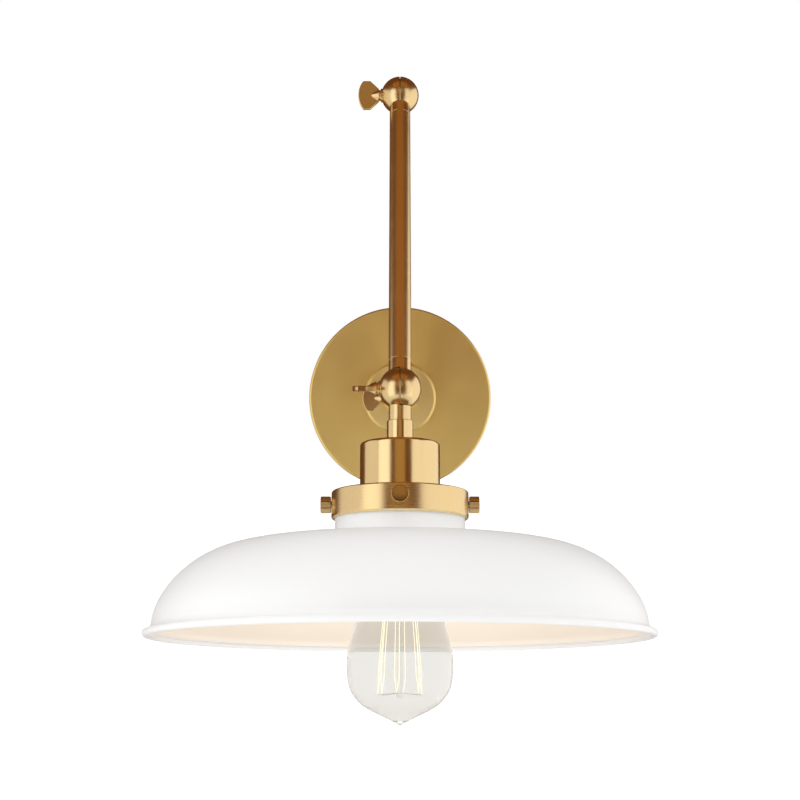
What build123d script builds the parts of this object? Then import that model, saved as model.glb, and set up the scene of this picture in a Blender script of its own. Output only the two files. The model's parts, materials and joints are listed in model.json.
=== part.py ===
from build123d import *
import os
from math import cos, pi, radians, sin, sqrt, tan

# Swing arm wall sconce with two arms and three split-ball joints, in millimetres, +Z up.
# The origin is the middle of the wall plate on the wall. The wall is the plane Y = 0, and the
# lamp stands out from it towards -Y. Every joint turns about a pin that lies along X.

# ---- Layout of the joints ----
wall_ball_reach = 42.0      # wall to the middle of the first ball
arm_length = 253.0          # from ball middle to ball middle, the same for both arms
rear_arm_lean = 31.4        # degrees from upright, outwards going up
front_arm_lean = 33.7       # degrees from upright, outwards going down
shade_tilt = 11.9           # degrees that the shade looks away from the wall

# ---- Split-ball joints ----
ball_radius = 13.35
seam_gap = 0.4              # between the two half balls, filled by a thin washer
scoop_clearance = 0.5       # between a half ball and the other half's hollowed shank
shank_length = 20.0         # ball middle to the seam with the tube
spigot_length = 12.0        # the part of a shank that is brazed inside the tube
running_clearance = 0.05    # radial, on pins and brazed spigots
pin_radius = 2.5            # thumbscrew shank
pin_depth = 9.5             # how far the thumbscrew reaches into the threaded half
seat_distance = 12.4        # ball middle to the flat that the thumbscrew bears on
seat_radius = 5.3
joint_washer_radius = 12.0
wire_way_radius = 2.6
wire_way_start = 6.8        # distance from the pin at which the wire way opens

# ---- Arm tubes ----
arm_radius = 7.25
tube_wall = 1.2
wire_radius = 2.2

# ---- Thumbscrews ----
collar_radius = 4.9
collar_thickness = 1.2
waist_radius = 3.8
cone_start = 15.2           # distances from the ball middle
cone_end = 20.6
cone_radius = 4.6
paddle_shoulder = 21.2
paddle_corner = 26.1
paddle_end = 29.8
paddle_half_height = 10.1
paddle_thickness = 3.4
paddle_edge_chamfer = 0.5

# ---- Wall plate and what is behind it ----
plate_radius = 73.8
plate_depth = 19.0
plate_wall = 1.2
plate_edge_fillet = 1.6
boss_radius = 29.2
boss_thickness = 3.0
boss_bevel = 1.6
tail_radius = 4.9           # threaded tail of the wall joint
tail_past_nut = 1.6
lock_washer_thickness = 1.0
lock_washer_radius = 8.6
nut_thickness = 5.0
nut_across_flats = 17.0
strap_thickness = 1.6
strap_width = 22.0
strap_half_length = 70.0
ear_height = 13.0
wire_hole_radius = 9.5
box_slot_spacing = 83.3
box_slot_length = 18.0
box_slot_radius = 2.4
ground_screw_place = (22.0, -6.5)
small_screw_radius = 2.0    # M4
set_screw_height = 9.0      # distance of the set screws from the wall
set_screw_inner = 66.0
pan_head_radius = 3.9
pan_head_height = 2.6
pan_head_fillet = 1.0
pan_head_slot_width = 1.0
set_screw_slot_width = 0.8
set_screw_recess = 0.3      # below the plate's face
screw_slot_depth = 1.0

# ---- Shade head, as distances from the last ball along the shade's axis ----
stem_radius = 7.1
collar_top = 20.7
stem_collar_radius = 8.2
cap_top = 35.0
cap_radius = 24.8
cap_wall = 1.2
cap_fillet = 1.8
ring_top = 65.6
ring_bottom = 82.4
ring_radius = 42.3
ring_wall = 1.5
ring_fillet = 1.0
ring_hole_radius = 19.7
ring_lip = 0.55
ring_screw_place = 73.4
ring_screw_count = 4
ring_screw_head_radius = 5.25
ring_screw_head_length = 6.3
ring_screw_seat = 0.35      # the head's rim meets the round ring before its middle does

# ---- Shade ----
shade_wall = 1.2
shade_neck_radius = 40.0
shade_neck_bottom = 94.1
neck_bend_radius = 3.0
shoulder_slope = 5.3        # degrees
shoulder_radius = 94.5      # where the flat shoulder turns into the dome
dome_bend_radius = 64.5
dome_bend_end = 61.4        # degrees of slope
wall_bend_radius = 39.4
wall_bend_end = 84.7
flare_radius = 5.9
flare_end = 40.0
bead_radius = 2.25

# ---- Lampholder and bulb, along the shade's axis ----
holder_top = 45.5
holder_radius = 19.5
holder_flange_radius = 23.4
holder_flange_bottom = 69.6
holder_skirt_radius = 17.6
holder_bottom = 93.5
holder_cavity_radius = 14.1
holder_cavity_top = 64.0
shell_radius = 14.05
shell_wall = 0.5
shell_top = 66.0
shell_bottom = 90.0
contact_radius = 4.2
bulb_top = 65.0
bulb_base_top = 69.5
bulb_base_bottom = 93.0
bulb_base_radius = 13.1
bulb_base_wall = 0.5
eyelet_radius = 4.8
eyelet_thickness = 1.0
insulator_radius = 10.5
glass_neck_radius = 12.4
glass_neck_top = 82.0
glass_neck_bottom = 97.0
glass_shoulder = (27.4, 146.0)
glass_belly = (32.2, 174.0)
glass_bottom = ((24.5, 193.5), (11.1, 201.2))
glass_tip = 205.5
glass_tip_slope = 0.35
glass_pip = 209.0
glass_pip_radius = 1.6
glass_wall = 0.8
mount_top = 84.0
mount_flare_radius = 9.0
mount_press = 118.0
mount_rod_radius = 1.6
mount_rod_end = 190.0
spider_radius = 0.45
hairpin_count = 6           # strands in pairs that join at a hook
hairpin_spread = 6.0        # degrees between a hook and each strand of its pair
hairpin_turn = 8.0          # degrees that the hooks are turned from midway between the sides
strand_radius = 0.35
strand_top = (9.0, 127.0)
strand_bottom = (14.2, 188.0)

across = Vector(1, 0, 0)
upright = Vector(0, 0, 1)
outwards = Vector(0, -1, 0)
rear_arm_up = Vector(0, -sin(radians(rear_arm_lean)), cos(radians(rear_arm_lean)))
front_arm_down = Vector(0, -sin(radians(front_arm_lean)), -cos(radians(front_arm_lean)))
shade_down = Vector(0, -sin(radians(shade_tilt)), -cos(radians(shade_tilt)))
wall_ball = outwards * wall_ball_reach
elbow_ball = wall_ball + rear_arm_up * arm_length
front_ball = elbow_ball + front_arm_down * arm_length
wall_middle = Vector(0, 0, 0)
shade_axis = Axis(front_ball, shade_down)
left = -1
right = 1


def facing_plane(start, direction, distance=0.0):
    """The plane square to a direction, at a distance along it, with its x along the pins."""
    return Plane(origin=start + direction * distance, x_dir=across, z_dir=direction)


def section_plane(start, direction):
    """The plane through the pin direction (its x) and the given direction (its y)."""
    return Plane(origin=start, x_dir=across, z_dir=across.cross(direction))


def write_piece(piece, name):
    """Label a finished piece and write its STEP file."""
    piece.part.label = name
    export_step(piece.part, f"parts/{name}.step")


def half_ball_outline(plane, radius, near, far):
    """Upper half of a disc, kept between two places along the pin."""
    with BuildSketch(plane) as outline:
        Circle(radius)
        with Locations(((near + far) / 2, radius / 2)):
            Rectangle(far - near, radius, mode=Mode.INTERSECT)
    return outline.sketch


def make_knuckle(name, centre, direction, side, shank, shank_end, spigot, spigot_end):
    """Half of a split-ball joint, with the shank that carries it and the shank's spigot."""
    pin = Axis(centre, across)
    section = section_plane(centre, direction)
    face = side * seam_gap / 2
    scoop = ball_radius + scoop_clearance
    with BuildPart() as knuckle:
        with BuildSketch(facing_plane(centre, direction)):
            Circle(shank)
        extrude(amount=shank_end)
        hollow = half_ball_outline(section, scoop, min(face, -side * scoop), max(face, -side * scoop))
        revolve(hollow, axis=pin, mode=Mode.SUBTRACT)
        half = half_ball_outline(
            section, ball_radius, min(face, side * ball_radius), max(face, side * ball_radius)
        )
        revolve(half, axis=pin)
        with BuildSketch(facing_plane(centre, direction, shank_end)):
            Circle(spigot)
        extrude(amount=spigot_end - shank_end)
        with BuildSketch(Plane(origin=centre, x_dir=direction, z_dir=across * side)):
            Circle(pin_radius + running_clearance)
        hole_depth = pin_depth + 1 if side == right else ball_radius
        extrude(amount=hole_depth, mode=Mode.SUBTRACT)
        if side == left:
            seat = Plane(origin=centre - across * seat_distance, x_dir=direction, z_dir=-across)
            with BuildSketch(seat):
                Circle(seat_radius)
            extrude(amount=ball_radius, mode=Mode.SUBTRACT)
        with BuildSketch(facing_plane(centre, direction, wire_way_start)):
            Circle(wire_way_radius)
        extrude(amount=spigot_end - wire_way_start, mode=Mode.SUBTRACT)
    write_piece(knuckle, name)


def make_joint_washer(name, centre):
    """Thin washer on the pin, between the two half balls."""
    with BuildPart() as washer:
        with BuildSketch(Plane(origin=centre, x_dir=upright, z_dir=across)):
            Circle(joint_washer_radius)
            Circle(pin_radius + running_clearance, mode=Mode.SUBTRACT)
        extrude(amount=seam_gap / 2, both=True)
    write_piece(washer, name)


def make_thumbscrew(name, centre, paddle_direction):
    """Thumbscrew whose shank is the joint's pin, with a flat eight-sided paddle."""
    section = section_plane(centre, paddle_direction)
    collar_end = seat_distance + collar_thickness
    with BuildPart() as thumbscrew:
        with BuildSketch(section):
            with Locations((-cone_start, 0)):
                Rectangle(cone_start - collar_end, waist_radius, align=(Align.MIN, Align.MIN))
            with Locations((-collar_end, 0)):
                Rectangle(collar_thickness, collar_radius, align=(Align.MIN, Align.MIN))
            with Locations((-seat_distance, 0)):
                Rectangle(seat_distance + pin_depth, pin_radius, align=(Align.MIN, Align.MIN))
            with BuildLine():
                Polyline(
                    (-cone_start, 0),
                    (-cone_start, cone_radius),
                    (-cone_end, paddle_thickness / 2),
                    (-cone_end, 0),
                    close=True,
                )
            make_face()
        revolve(axis=Axis(centre, across))
        with BuildSketch(section):
            with BuildLine():
                ThreePointArc(
                    (-paddle_corner, paddle_half_height),
                    (-paddle_end, 0),
                    (-paddle_corner, -paddle_half_height),
                )
                Polyline(
                    (-paddle_corner, -paddle_half_height),
                    (-paddle_shoulder, -paddle_half_height),
                    (-cone_start, -cone_radius),
                    (-cone_start, cone_radius),
                    (-paddle_shoulder, paddle_half_height),
                    (-paddle_corner, paddle_half_height),
                )
            make_face()
        extrude(amount=paddle_thickness / 2, both=True)
        outline_edges = thumbscrew.edges().filter_by(
            lambda edge: edge.center().X < -cone_end
            and edge.bounding_box().size.X > 0
            and abs((edge.center() - centre).dot(section.z_dir)) > paddle_thickness / 4
        )
        chamfer(outline_edges, paddle_edge_chamfer)
    write_piece(thumbscrew, name)


def make_tube(name, start, direction):
    """Plain arm tube between two shanks."""
    with BuildPart() as tube:
        with BuildSketch(facing_plane(start, direction, shank_length)):
            Circle(arm_radius)
            Circle(arm_radius - tube_wall, mode=Mode.SUBTRACT)
        extrude(amount=arm_length - 2 * shank_length)
    write_piece(tube, name)


def make_wire(name, start, direction):
    """Sleeved lamp wire that runs inside an arm, between the two wire ways."""
    with BuildPart() as wire:
        with BuildSketch(facing_plane(start, direction, shank_length)):
            Circle(wire_radius)
        extrude(amount=arm_length - 2 * shank_length)
    write_piece(wire, name)


def make_hex_nut(name, start, direction, distance, hole_radius):
    """Hexagon nut on a threaded tail."""
    with BuildPart() as nut:
        with BuildSketch(facing_plane(start, direction, distance)):
            RegularPolygon(nut_across_flats / 2, 6, major_radius=False)
            Circle(hole_radius, mode=Mode.SUBTRACT)
        extrude(amount=nut_thickness)
    write_piece(nut, name)


def make_wall_plate():
    """Drawn round cover that hides the junction box."""
    with BuildPart() as wall_plate:
        with BuildSketch(facing_plane(wall_middle, outwards)):
            Circle(plate_radius)
        extrude(amount=plate_depth)
        front = wall_plate.faces().sort_by(Axis.Y)[0]
        fillet(front.edges(), plate_edge_fillet)
        with BuildSketch(facing_plane(wall_middle, outwards)):
            Circle(plate_radius - plate_wall)
        extrude(amount=plate_depth - plate_wall, mode=Mode.SUBTRACT)
        with BuildSketch(facing_plane(wall_middle, outwards)):
            Circle(tail_radius + running_clearance)
        extrude(amount=plate_depth, mode=Mode.SUBTRACT)
        with BuildSketch(Plane(origin=outwards * set_screw_height, x_dir=upright, z_dir=across)):
            Circle(small_screw_radius + running_clearance)
        extrude(amount=plate_radius, both=True, mode=Mode.SUBTRACT)
    write_piece(wall_plate, "wall_plate")


def make_boss():
    """Raised round disc between the plate and the first joint."""
    with BuildPart() as boss_disc:
        with BuildSketch(facing_plane(wall_middle, outwards, plate_depth)):
            Circle(boss_radius)
        extrude(amount=boss_thickness)
        front = boss_disc.faces().sort_by(Axis.Y)[0]
        chamfer(front.edges(), boss_bevel)
        with BuildSketch(facing_plane(wall_middle, outwards, plate_depth)):
            Circle(tail_radius + running_clearance)
        extrude(amount=boss_thickness, mode=Mode.SUBTRACT)
    write_piece(boss_disc, "boss_disc")


def make_mounting_strap():
    """Steel strap that is screwed to the junction box, with an ear at each end for the plate."""
    with BuildPart() as mounting_strap:
        with BuildSketch(facing_plane(wall_middle, outwards)):
            Rectangle(2 * strap_half_length, strap_width)
            Circle(wire_hole_radius, mode=Mode.SUBTRACT)
            with GridLocations(box_slot_spacing, 0, 2, 1):
                SlotOverall(box_slot_length, 2 * box_slot_radius, mode=Mode.SUBTRACT)
            with Locations(ground_screw_place):
                Circle(small_screw_radius + running_clearance, mode=Mode.SUBTRACT)
        extrude(amount=strap_thickness)
        ear_middle = strap_half_length - strap_thickness / 2
        with BuildSketch(facing_plane(wall_middle, outwards, strap_thickness)):
            with GridLocations(2 * ear_middle, 0, 2, 1):
                Rectangle(strap_thickness, strap_width)
        extrude(amount=ear_height - strap_thickness)
        with BuildSketch(Plane(origin=outwards * set_screw_height, x_dir=upright, z_dir=across)):
            Circle(small_screw_radius + running_clearance)
        extrude(amount=strap_half_length, both=True, mode=Mode.SUBTRACT)
    write_piece(mounting_strap, "mounting_strap")


def make_plate_set_screws():
    """Two headless screws through the plate's edge into the strap's ears."""
    length = plate_radius - set_screw_inner - set_screw_recess
    with BuildPart() as plate_set_screws:
        for side in (left, right):
            start = outwards * set_screw_height + across * side * set_screw_inner
            with BuildSketch(Plane(origin=start, x_dir=upright, z_dir=across * side)):
                Circle(small_screw_radius)
            extrude(amount=length)
            slot_plane = Plane(origin=start, x_dir=upright, z_dir=across * side).offset(length)
            with BuildSketch(slot_plane):
                Rectangle(2 * small_screw_radius, set_screw_slot_width)
            extrude(amount=-screw_slot_depth, mode=Mode.SUBTRACT)
    write_piece(plate_set_screws, "plate_set_screws")


def make_ground_screw():
    """Pan-head earth screw in the strap."""
    with BuildPart() as ground_screw:
        with BuildSketch(facing_plane(wall_middle, outwards)):
            with Locations(ground_screw_place):
                Circle(small_screw_radius)
        extrude(amount=strap_thickness)
        with BuildSketch(facing_plane(wall_middle, outwards, strap_thickness)):
            with Locations(ground_screw_place):
                Circle(pan_head_radius)
        extrude(amount=pan_head_height)
        top = ground_screw.faces().sort_by(Axis.Y)[0]
        fillet(top.edges(), pan_head_fillet)
        with BuildSketch(facing_plane(wall_middle, outwards, strap_thickness + pan_head_height)):
            with Locations(ground_screw_place):
                Rectangle(2 * pan_head_radius, pan_head_slot_width)
        extrude(amount=-screw_slot_depth, mode=Mode.SUBTRACT)
    write_piece(ground_screw, "ground_screw")


def make_lock_washer(distance):
    """Washer under the nut, inside the plate."""
    with BuildPart() as lock_washer:
        with BuildSketch(facing_plane(wall_middle, outwards, distance)):
            Circle(lock_washer_radius)
            Circle(tail_radius + running_clearance, mode=Mode.SUBTRACT)
        extrude(amount=lock_washer_thickness)
    write_piece(lock_washer, "lock_washer")


def make_stem_collar():
    """Slightly wider collar between the last joint and the socket cap."""
    with BuildPart() as stem_collar:
        with BuildSketch(facing_plane(front_ball, shade_down, collar_top)):
            Circle(stem_collar_radius)
            Circle(tail_radius + running_clearance, mode=Mode.SUBTRACT)
        extrude(amount=cap_top - collar_top)
    write_piece(stem_collar, "stem_collar")


def turned_piece(name, corners):
    """Closed outline of (radius, distance along the shade's axis), turned about that axis."""
    with BuildPart() as turned:
        with BuildSketch(section_plane(front_ball, shade_down)):
            with BuildLine():
                Polyline(*corners, close=True)
            make_face()
        revolve(axis=shade_axis)
    write_piece(turned, name)


def circle_edge(piece, radius, distance):
    """The round edge of a turned piece with this radius, nearest to a place on the axis."""
    place = Vertex(*(front_ball + shade_down * distance))
    rounds = piece.edges().filter_by(GeomType.CIRCLE)
    return rounds.filter_by(lambda edge: abs(edge.radius - radius) < 0.01).sort_by_distance(place)[0]


def make_socket_cap():
    """Plain cup over the back of the lampholder."""
    hole = tail_radius + running_clearance
    inside = cap_radius - cap_wall
    with BuildPart() as socket_cap:
        with BuildSketch(section_plane(front_ball, shade_down)):
            with BuildLine():
                Polyline(
                    (hole, cap_top),
                    (cap_radius, cap_top),
                    (cap_radius, ring_top),
                    (inside, ring_top),
                    (inside, cap_top + cap_wall),
                    (hole, cap_top + cap_wall),
                    close=True,
                )
            make_face()
        revolve(axis=shade_axis)
        fillet(circle_edge(socket_cap, cap_radius, cap_top), cap_fillet)
    write_piece(socket_cap, "socket_cap")


def ring_screw_directions():
    """The directions in which the four ring screws stand out from the ring."""
    facing = facing_plane(front_ball, shade_down)
    turns = [2 * pi * index / ring_screw_count for index in range(ring_screw_count)]
    return [facing.x_dir * cos(turn) + facing.y_dir * sin(turn) for turn in turns]


def make_shade_ring():
    """Ring that holds the shade's neck, with its lower edge curled in."""
    inside = ring_radius - ring_wall
    with BuildPart() as shade_ring:
        with BuildSketch(section_plane(front_ball, shade_down)):
            with BuildLine():
                Polyline(
                    (ring_hole_radius, ring_top),
                    (ring_radius, ring_top),
                    (ring_radius, ring_bottom),
                    (inside - ring_lip, ring_bottom),
                    (inside - ring_lip, ring_bottom - ring_wall),
                    (inside, ring_bottom - ring_wall),
                    (inside, ring_top + ring_wall),
                    (ring_hole_radius, ring_top + ring_wall),
                    close=True,
                )
            make_face()
        revolve(axis=shade_axis)
        fillet(circle_edge(shade_ring, ring_radius, ring_top), ring_fillet)
        fillet(circle_edge(shade_ring, ring_radius, ring_bottom), ring_fillet)
        for direction in ring_screw_directions():
            start = front_ball + shade_down * ring_screw_place
            with BuildSketch(Plane(origin=start, x_dir=shade_down, z_dir=direction)):
                Circle(small_screw_radius + running_clearance)
            extrude(amount=ring_radius + ring_wall, mode=Mode.SUBTRACT)
    write_piece(shade_ring, "shade_ring")


def make_ring_screws():
    """Round-headed screws that clamp the shade's neck in the ring."""
    middle = front_ball + shade_down * ring_screw_place
    head_start = ring_radius + ring_screw_seat
    with BuildPart() as ring_screws:
        for direction in ring_screw_directions():
            shank_plane = Plane(
                origin=middle + direction * shade_neck_radius, x_dir=shade_down, z_dir=direction
            )
            with BuildSketch(shank_plane):
                Circle(small_screw_radius)
            extrude(amount=head_start - shade_neck_radius)
            head_plane = Plane(origin=middle + direction * head_start, x_dir=shade_down, z_dir=direction)
            with BuildSketch(head_plane):
                Circle(ring_screw_head_radius)
            extrude(amount=ring_screw_head_length)
    write_piece(ring_screws, "ring_screws")


def slope_point(centre, radius, slope):
    """Point of a round stretch of the shade where its outline has this slope, in degrees."""
    return (centre[0] + radius * sin(radians(slope)), centre[1] - radius * cos(radians(slope)))


def make_shade():
    """Spun metal shade: neck, flat shoulder, dome, near-upright wall, flare and rolled bead."""
    half_wall = shade_wall / 2
    shoulder_end = (
        shoulder_radius,
        shade_neck_bottom + (shoulder_radius - shade_neck_radius) * tan(radians(shoulder_slope)),
    )
    dome_centre = slope_point(shoulder_end, -dome_bend_radius, shoulder_slope)
    wall_centre = slope_point(dome_centre, dome_bend_radius - wall_bend_radius, dome_bend_end)
    flare_centre = slope_point(wall_centre, wall_bend_radius + flare_radius, wall_bend_end)
    dome_start = slope_point(dome_centre, dome_bend_radius - half_wall, shoulder_slope)
    neck_middle = shade_neck_radius - half_wall
    neck_corner = dome_start[1] - (dome_start[0] - neck_middle) * tan(radians(shoulder_slope))
    bead_middle = slope_point(flare_centre, -flare_radius - half_wall, flare_end)
    bead_middle = (
        bead_middle[0] + bead_radius * cos(radians(flare_end)) / sqrt(2),
        bead_middle[1] + bead_radius * sin(radians(flare_end)) / sqrt(2),
    )
    with BuildPart() as shade:
        with BuildSketch(section_plane(front_ball, shade_down)):
            with BuildLine():
                FilletPolyline(
                    (neck_middle, ring_top + ring_wall),
                    (neck_middle, neck_corner),
                    dome_start,
                    radius=neck_bend_radius,
                )
                CenterArc(
                    dome_centre,
                    dome_bend_radius - half_wall,
                    shoulder_slope - 90,
                    dome_bend_end - shoulder_slope,
                )
                CenterArc(
                    wall_centre,
                    wall_bend_radius - half_wall,
                    dome_bend_end - 90,
                    wall_bend_end - dome_bend_end,
                )
                CenterArc(
                    flare_centre,
                    flare_radius + half_wall,
                    wall_bend_end + 90,
                    flare_end - wall_bend_end,
                )
            trace(line_width=shade_wall)
            with Locations(bead_middle):
                Circle(bead_radius)
        revolve(axis=shade_axis)
    write_piece(shade, "shade")


def make_lampholder():
    """Moulded lampholder with its threaded metal shell and its centre contact."""
    flange_top = ring_top + ring_wall
    turned_piece(
        "lampholder_body",
        [
            (0, holder_top),
            (holder_radius, holder_top),
            (holder_radius, flange_top),
            (holder_flange_radius, flange_top),
            (holder_flange_radius, holder_flange_bottom),
            (holder_skirt_radius, holder_flange_bottom),
            (holder_skirt_radius, holder_bottom),
            (holder_cavity_radius, holder_bottom),
            (holder_cavity_radius, holder_cavity_top),
            (0, holder_cavity_top),
        ],
    )
    turned_piece(
        "lampholder_shell",
        [
            (shell_radius - shell_wall, shell_top),
            (shell_radius, shell_top),
            (shell_radius, shell_bottom),
            (shell_radius - shell_wall, shell_bottom),
        ],
    )
    turned_piece(
        "lampholder_contact",
        [
            (0, holder_cavity_top),
            (contact_radius, holder_cavity_top),
            (contact_radius, bulb_top),
            (0, bulb_top),
        ],
    )


def make_bulb_base():
    """Screw base of the bulb: metal cup, glass insulator and solder eyelet."""
    eyelet_bottom = bulb_top + eyelet_thickness
    inside = bulb_base_radius - bulb_base_wall
    turned_piece(
        "bulb_base",
        [
            (insulator_radius, bulb_base_top),
            (bulb_base_radius, bulb_base_top),
            (bulb_base_radius, bulb_base_bottom),
            (inside, bulb_base_bottom),
            (inside, bulb_base_top + bulb_base_wall),
            (insulator_radius, bulb_base_top + bulb_base_wall),
        ],
    )
    turned_piece(
        "bulb_insulator",
        [
            (0, eyelet_bottom),
            (eyelet_radius, eyelet_bottom),
            (insulator_radius, bulb_base_top),
            (insulator_radius, bulb_base_top + bulb_base_wall),
            (0, bulb_base_top + bulb_base_wall),
        ],
    )
    turned_piece(
        "bulb_eyelet",
        [(0, bulb_top), (eyelet_radius, bulb_top), (eyelet_radius, eyelet_bottom), (0, eyelet_bottom)],
    )


def glass_outline(inset):
    """Half outline of the pear-shaped glass, moved inwards by an inset."""
    neck = glass_neck_radius - inset
    tip = (glass_pip_radius, glass_tip - inset)
    bottom = [(radius - inset / 2, distance - inset) for radius, distance in glass_bottom]
    with BuildSketch(section_plane(front_ball, shade_down)) as outline:
        with BuildLine():
            Line((0, glass_neck_top), (neck, glass_neck_top))
            Line((neck, glass_neck_top), (neck, glass_neck_bottom))
            Spline(
                (neck, glass_neck_bottom),
                (glass_shoulder[0] - inset, glass_shoulder[1]),
                (glass_belly[0] - inset, glass_belly[1]),
                *bottom,
                tip,
                tangents=[(0, 1), (-1, glass_tip_slope)],
            )
            Line(tip, (0, tip[1]))
            Line((0, tip[1]), (0, glass_neck_top))
        make_face()
    return outline.sketch


def make_bulb_glass():
    """Thin glass of the bulb, open at its neck, with a drawn pip at the bottom."""
    with BuildPart() as bulb_glass:
        revolve(glass_outline(0), axis=shade_axis)
        revolve(glass_outline(glass_wall), axis=shade_axis, mode=Mode.SUBTRACT)
        with BuildSketch(section_plane(front_ball, shade_down)):
            with BuildLine():
                Polyline(
                    (0, glass_tip - glass_wall / 2),
                    (glass_pip_radius, glass_tip - glass_wall / 2),
                    (glass_pip_radius / 3, glass_pip),
                    (0, glass_pip),
                    close=True,
                )
            make_face()
        revolve(axis=shade_axis)
    write_piece(bulb_glass, "bulb_glass")


def bulb_point(turn, radius, distance):
    """Place inside the bulb: a turn in degrees about the axis, a radius and a distance."""
    facing = facing_plane(front_ball, shade_down)
    sideways = facing.x_dir * cos(radians(turn)) + facing.y_dir * sin(radians(turn))
    return front_ball + shade_down * distance + sideways * radius


def make_rods(name, rod_ends, rod_radius):
    """Straight round rods between pairs of places, in one node."""
    with BuildPart() as rods:
        for start, end in rod_ends:
            with BuildSketch(Plane(origin=start, z_dir=end - start)):
                Circle(rod_radius)
            extrude(amount=(end - start).length)
    write_piece(rods, name)


def make_bulb_inside():
    """Glass mount, its wire supports and the cage of filament strands."""
    turned_piece(
        "bulb_mount",
        [
            (0, mount_top),
            (mount_flare_radius, mount_top),
            (mount_flare_radius / 2, mount_top + mount_flare_radius),
            (2 * mount_rod_radius, mount_press),
            (mount_rod_radius, mount_press + mount_rod_radius),
            (mount_rod_radius, mount_rod_end),
            (0, mount_rod_end),
        ],
    )
    step = 360 / hairpin_count
    hooks = [hairpin_turn + step * (index + 1 / 2) for index in range(hairpin_count)]
    gap = strand_radius + 2 * running_clearance
    spokes = []
    for radius, distance in (strand_top, strand_bottom):
        for turn in hooks:
            inner = bulb_point(turn, mount_rod_radius, distance)
            outer = bulb_point(turn, radius - gap, distance)
            spokes.append((inner, outer))
    make_rods("bulb_supports", spokes, spider_radius)
    strands = []
    for hook in hooks:
        for turn in (hook - hairpin_spread, hook + hairpin_spread):
            strands.append((bulb_point(turn, *strand_top), bulb_point(turn, *strand_bottom)))
    make_rods("bulb_filament", strands, strand_radius)


os.makedirs("parts", exist_ok=True)

# ---- On the wall ----
tube_bore = arm_radius - tube_wall
spigot_radius = tube_bore - running_clearance
nut_start = plate_depth - plate_wall - lock_washer_thickness - nut_thickness
make_wall_plate()
make_boss()
make_mounting_strap()
make_plate_set_screws()
make_ground_screw()
make_lock_washer(nut_start + nut_thickness)
make_hex_nut("wall_nut", wall_middle, outwards, nut_start, tail_radius + running_clearance)
make_knuckle(
    "wall_knuckle",
    wall_ball,
    -outwards,
    right,
    arm_radius,
    wall_ball_reach - plate_depth - boss_thickness,
    tail_radius,
    wall_ball_reach - nut_start + tail_past_nut,
)
make_joint_washer("wall_joint_washer", wall_ball)
make_thumbscrew("wall_thumbscrew", wall_ball, upright)

# ---- Rear arm, with left-hand half balls ----
rear_ends = (
    ("rear_arm_lower_knuckle", wall_ball, rear_arm_up),
    ("rear_arm_upper_knuckle", elbow_ball, -rear_arm_up),
)
for name, centre, direction in rear_ends:
    make_knuckle(
        name, centre, direction, left, arm_radius, shank_length, spigot_radius, shank_length + spigot_length
    )
make_tube("rear_arm_tube", wall_ball, rear_arm_up)
make_wire("rear_arm_wire", wall_ball, rear_arm_up)

# ---- Front arm, with right-hand half balls ----
front_ends = (
    ("front_arm_upper_knuckle", elbow_ball, front_arm_down),
    ("front_arm_lower_knuckle", front_ball, -front_arm_down),
)
for name, centre, direction in front_ends:
    make_knuckle(
        name, centre, direction, right, arm_radius, shank_length, spigot_radius, shank_length + spigot_length
    )
make_tube("front_arm_tube", elbow_ball, front_arm_down)
make_wire("front_arm_wire", elbow_ball, front_arm_down)
make_joint_washer("elbow_joint_washer", elbow_ball)
make_thumbscrew("elbow_thumbscrew", elbow_ball, upright)
make_joint_washer("shade_joint_washer", front_ball)
make_thumbscrew("shade_thumbscrew", front_ball, outwards)

# ---- Shade head ----
cap_nut_start = cap_top + cap_wall
make_knuckle(
    "shade_knuckle",
    front_ball,
    shade_down,
    left,
    stem_radius,
    collar_top,
    tail_radius,
    cap_nut_start + nut_thickness + tail_past_nut,
)
make_stem_collar()
make_socket_cap()
make_hex_nut("cap_nut", front_ball, shade_down, cap_nut_start, tail_radius + running_clearance)
make_shade_ring()
make_ring_screws()
make_shade()
make_lampholder()
make_bulb_base()
make_bulb_glass()
make_bulb_inside()
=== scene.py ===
"""Swing arm wall sconce: the visible pieces, their finishes, the studio and the camera."""
import json
import logging
import math
from dataclasses import dataclass, replace
from enum import Enum
from typing import Optional, Sequence, Union

import bmesh
import bpy
from mathutils import Matrix, Vector
from mathutils.geometry import interpolate_bezier


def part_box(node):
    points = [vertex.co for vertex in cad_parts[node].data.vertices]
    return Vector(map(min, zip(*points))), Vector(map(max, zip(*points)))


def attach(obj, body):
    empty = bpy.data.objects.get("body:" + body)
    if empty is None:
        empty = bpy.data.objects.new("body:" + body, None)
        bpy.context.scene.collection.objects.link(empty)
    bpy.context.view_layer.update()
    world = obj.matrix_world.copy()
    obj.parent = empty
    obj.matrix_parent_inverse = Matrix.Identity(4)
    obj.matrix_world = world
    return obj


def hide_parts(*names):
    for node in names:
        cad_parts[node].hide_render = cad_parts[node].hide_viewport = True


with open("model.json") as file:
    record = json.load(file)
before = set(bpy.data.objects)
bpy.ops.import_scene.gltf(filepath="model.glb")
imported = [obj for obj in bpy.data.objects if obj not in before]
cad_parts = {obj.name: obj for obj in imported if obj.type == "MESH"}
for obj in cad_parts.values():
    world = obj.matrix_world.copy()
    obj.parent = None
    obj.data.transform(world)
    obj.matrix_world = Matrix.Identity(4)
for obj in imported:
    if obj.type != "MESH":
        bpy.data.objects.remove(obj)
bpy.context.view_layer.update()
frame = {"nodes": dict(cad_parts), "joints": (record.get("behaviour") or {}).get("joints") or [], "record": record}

log = logging.getLogger("sconce")
MM = 0.001
ACROSS = Vector((1.0, 0.0, 0.0))
UP = Vector((0.0, 0.0, 1.0))
OUTWARDS = Vector((0.0, -1.0, 0.0))
Colour = tuple[float, float, float]
Number = Union[float, "Signal"]


# ---------------------------------------------------------------- places in the frame


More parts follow.
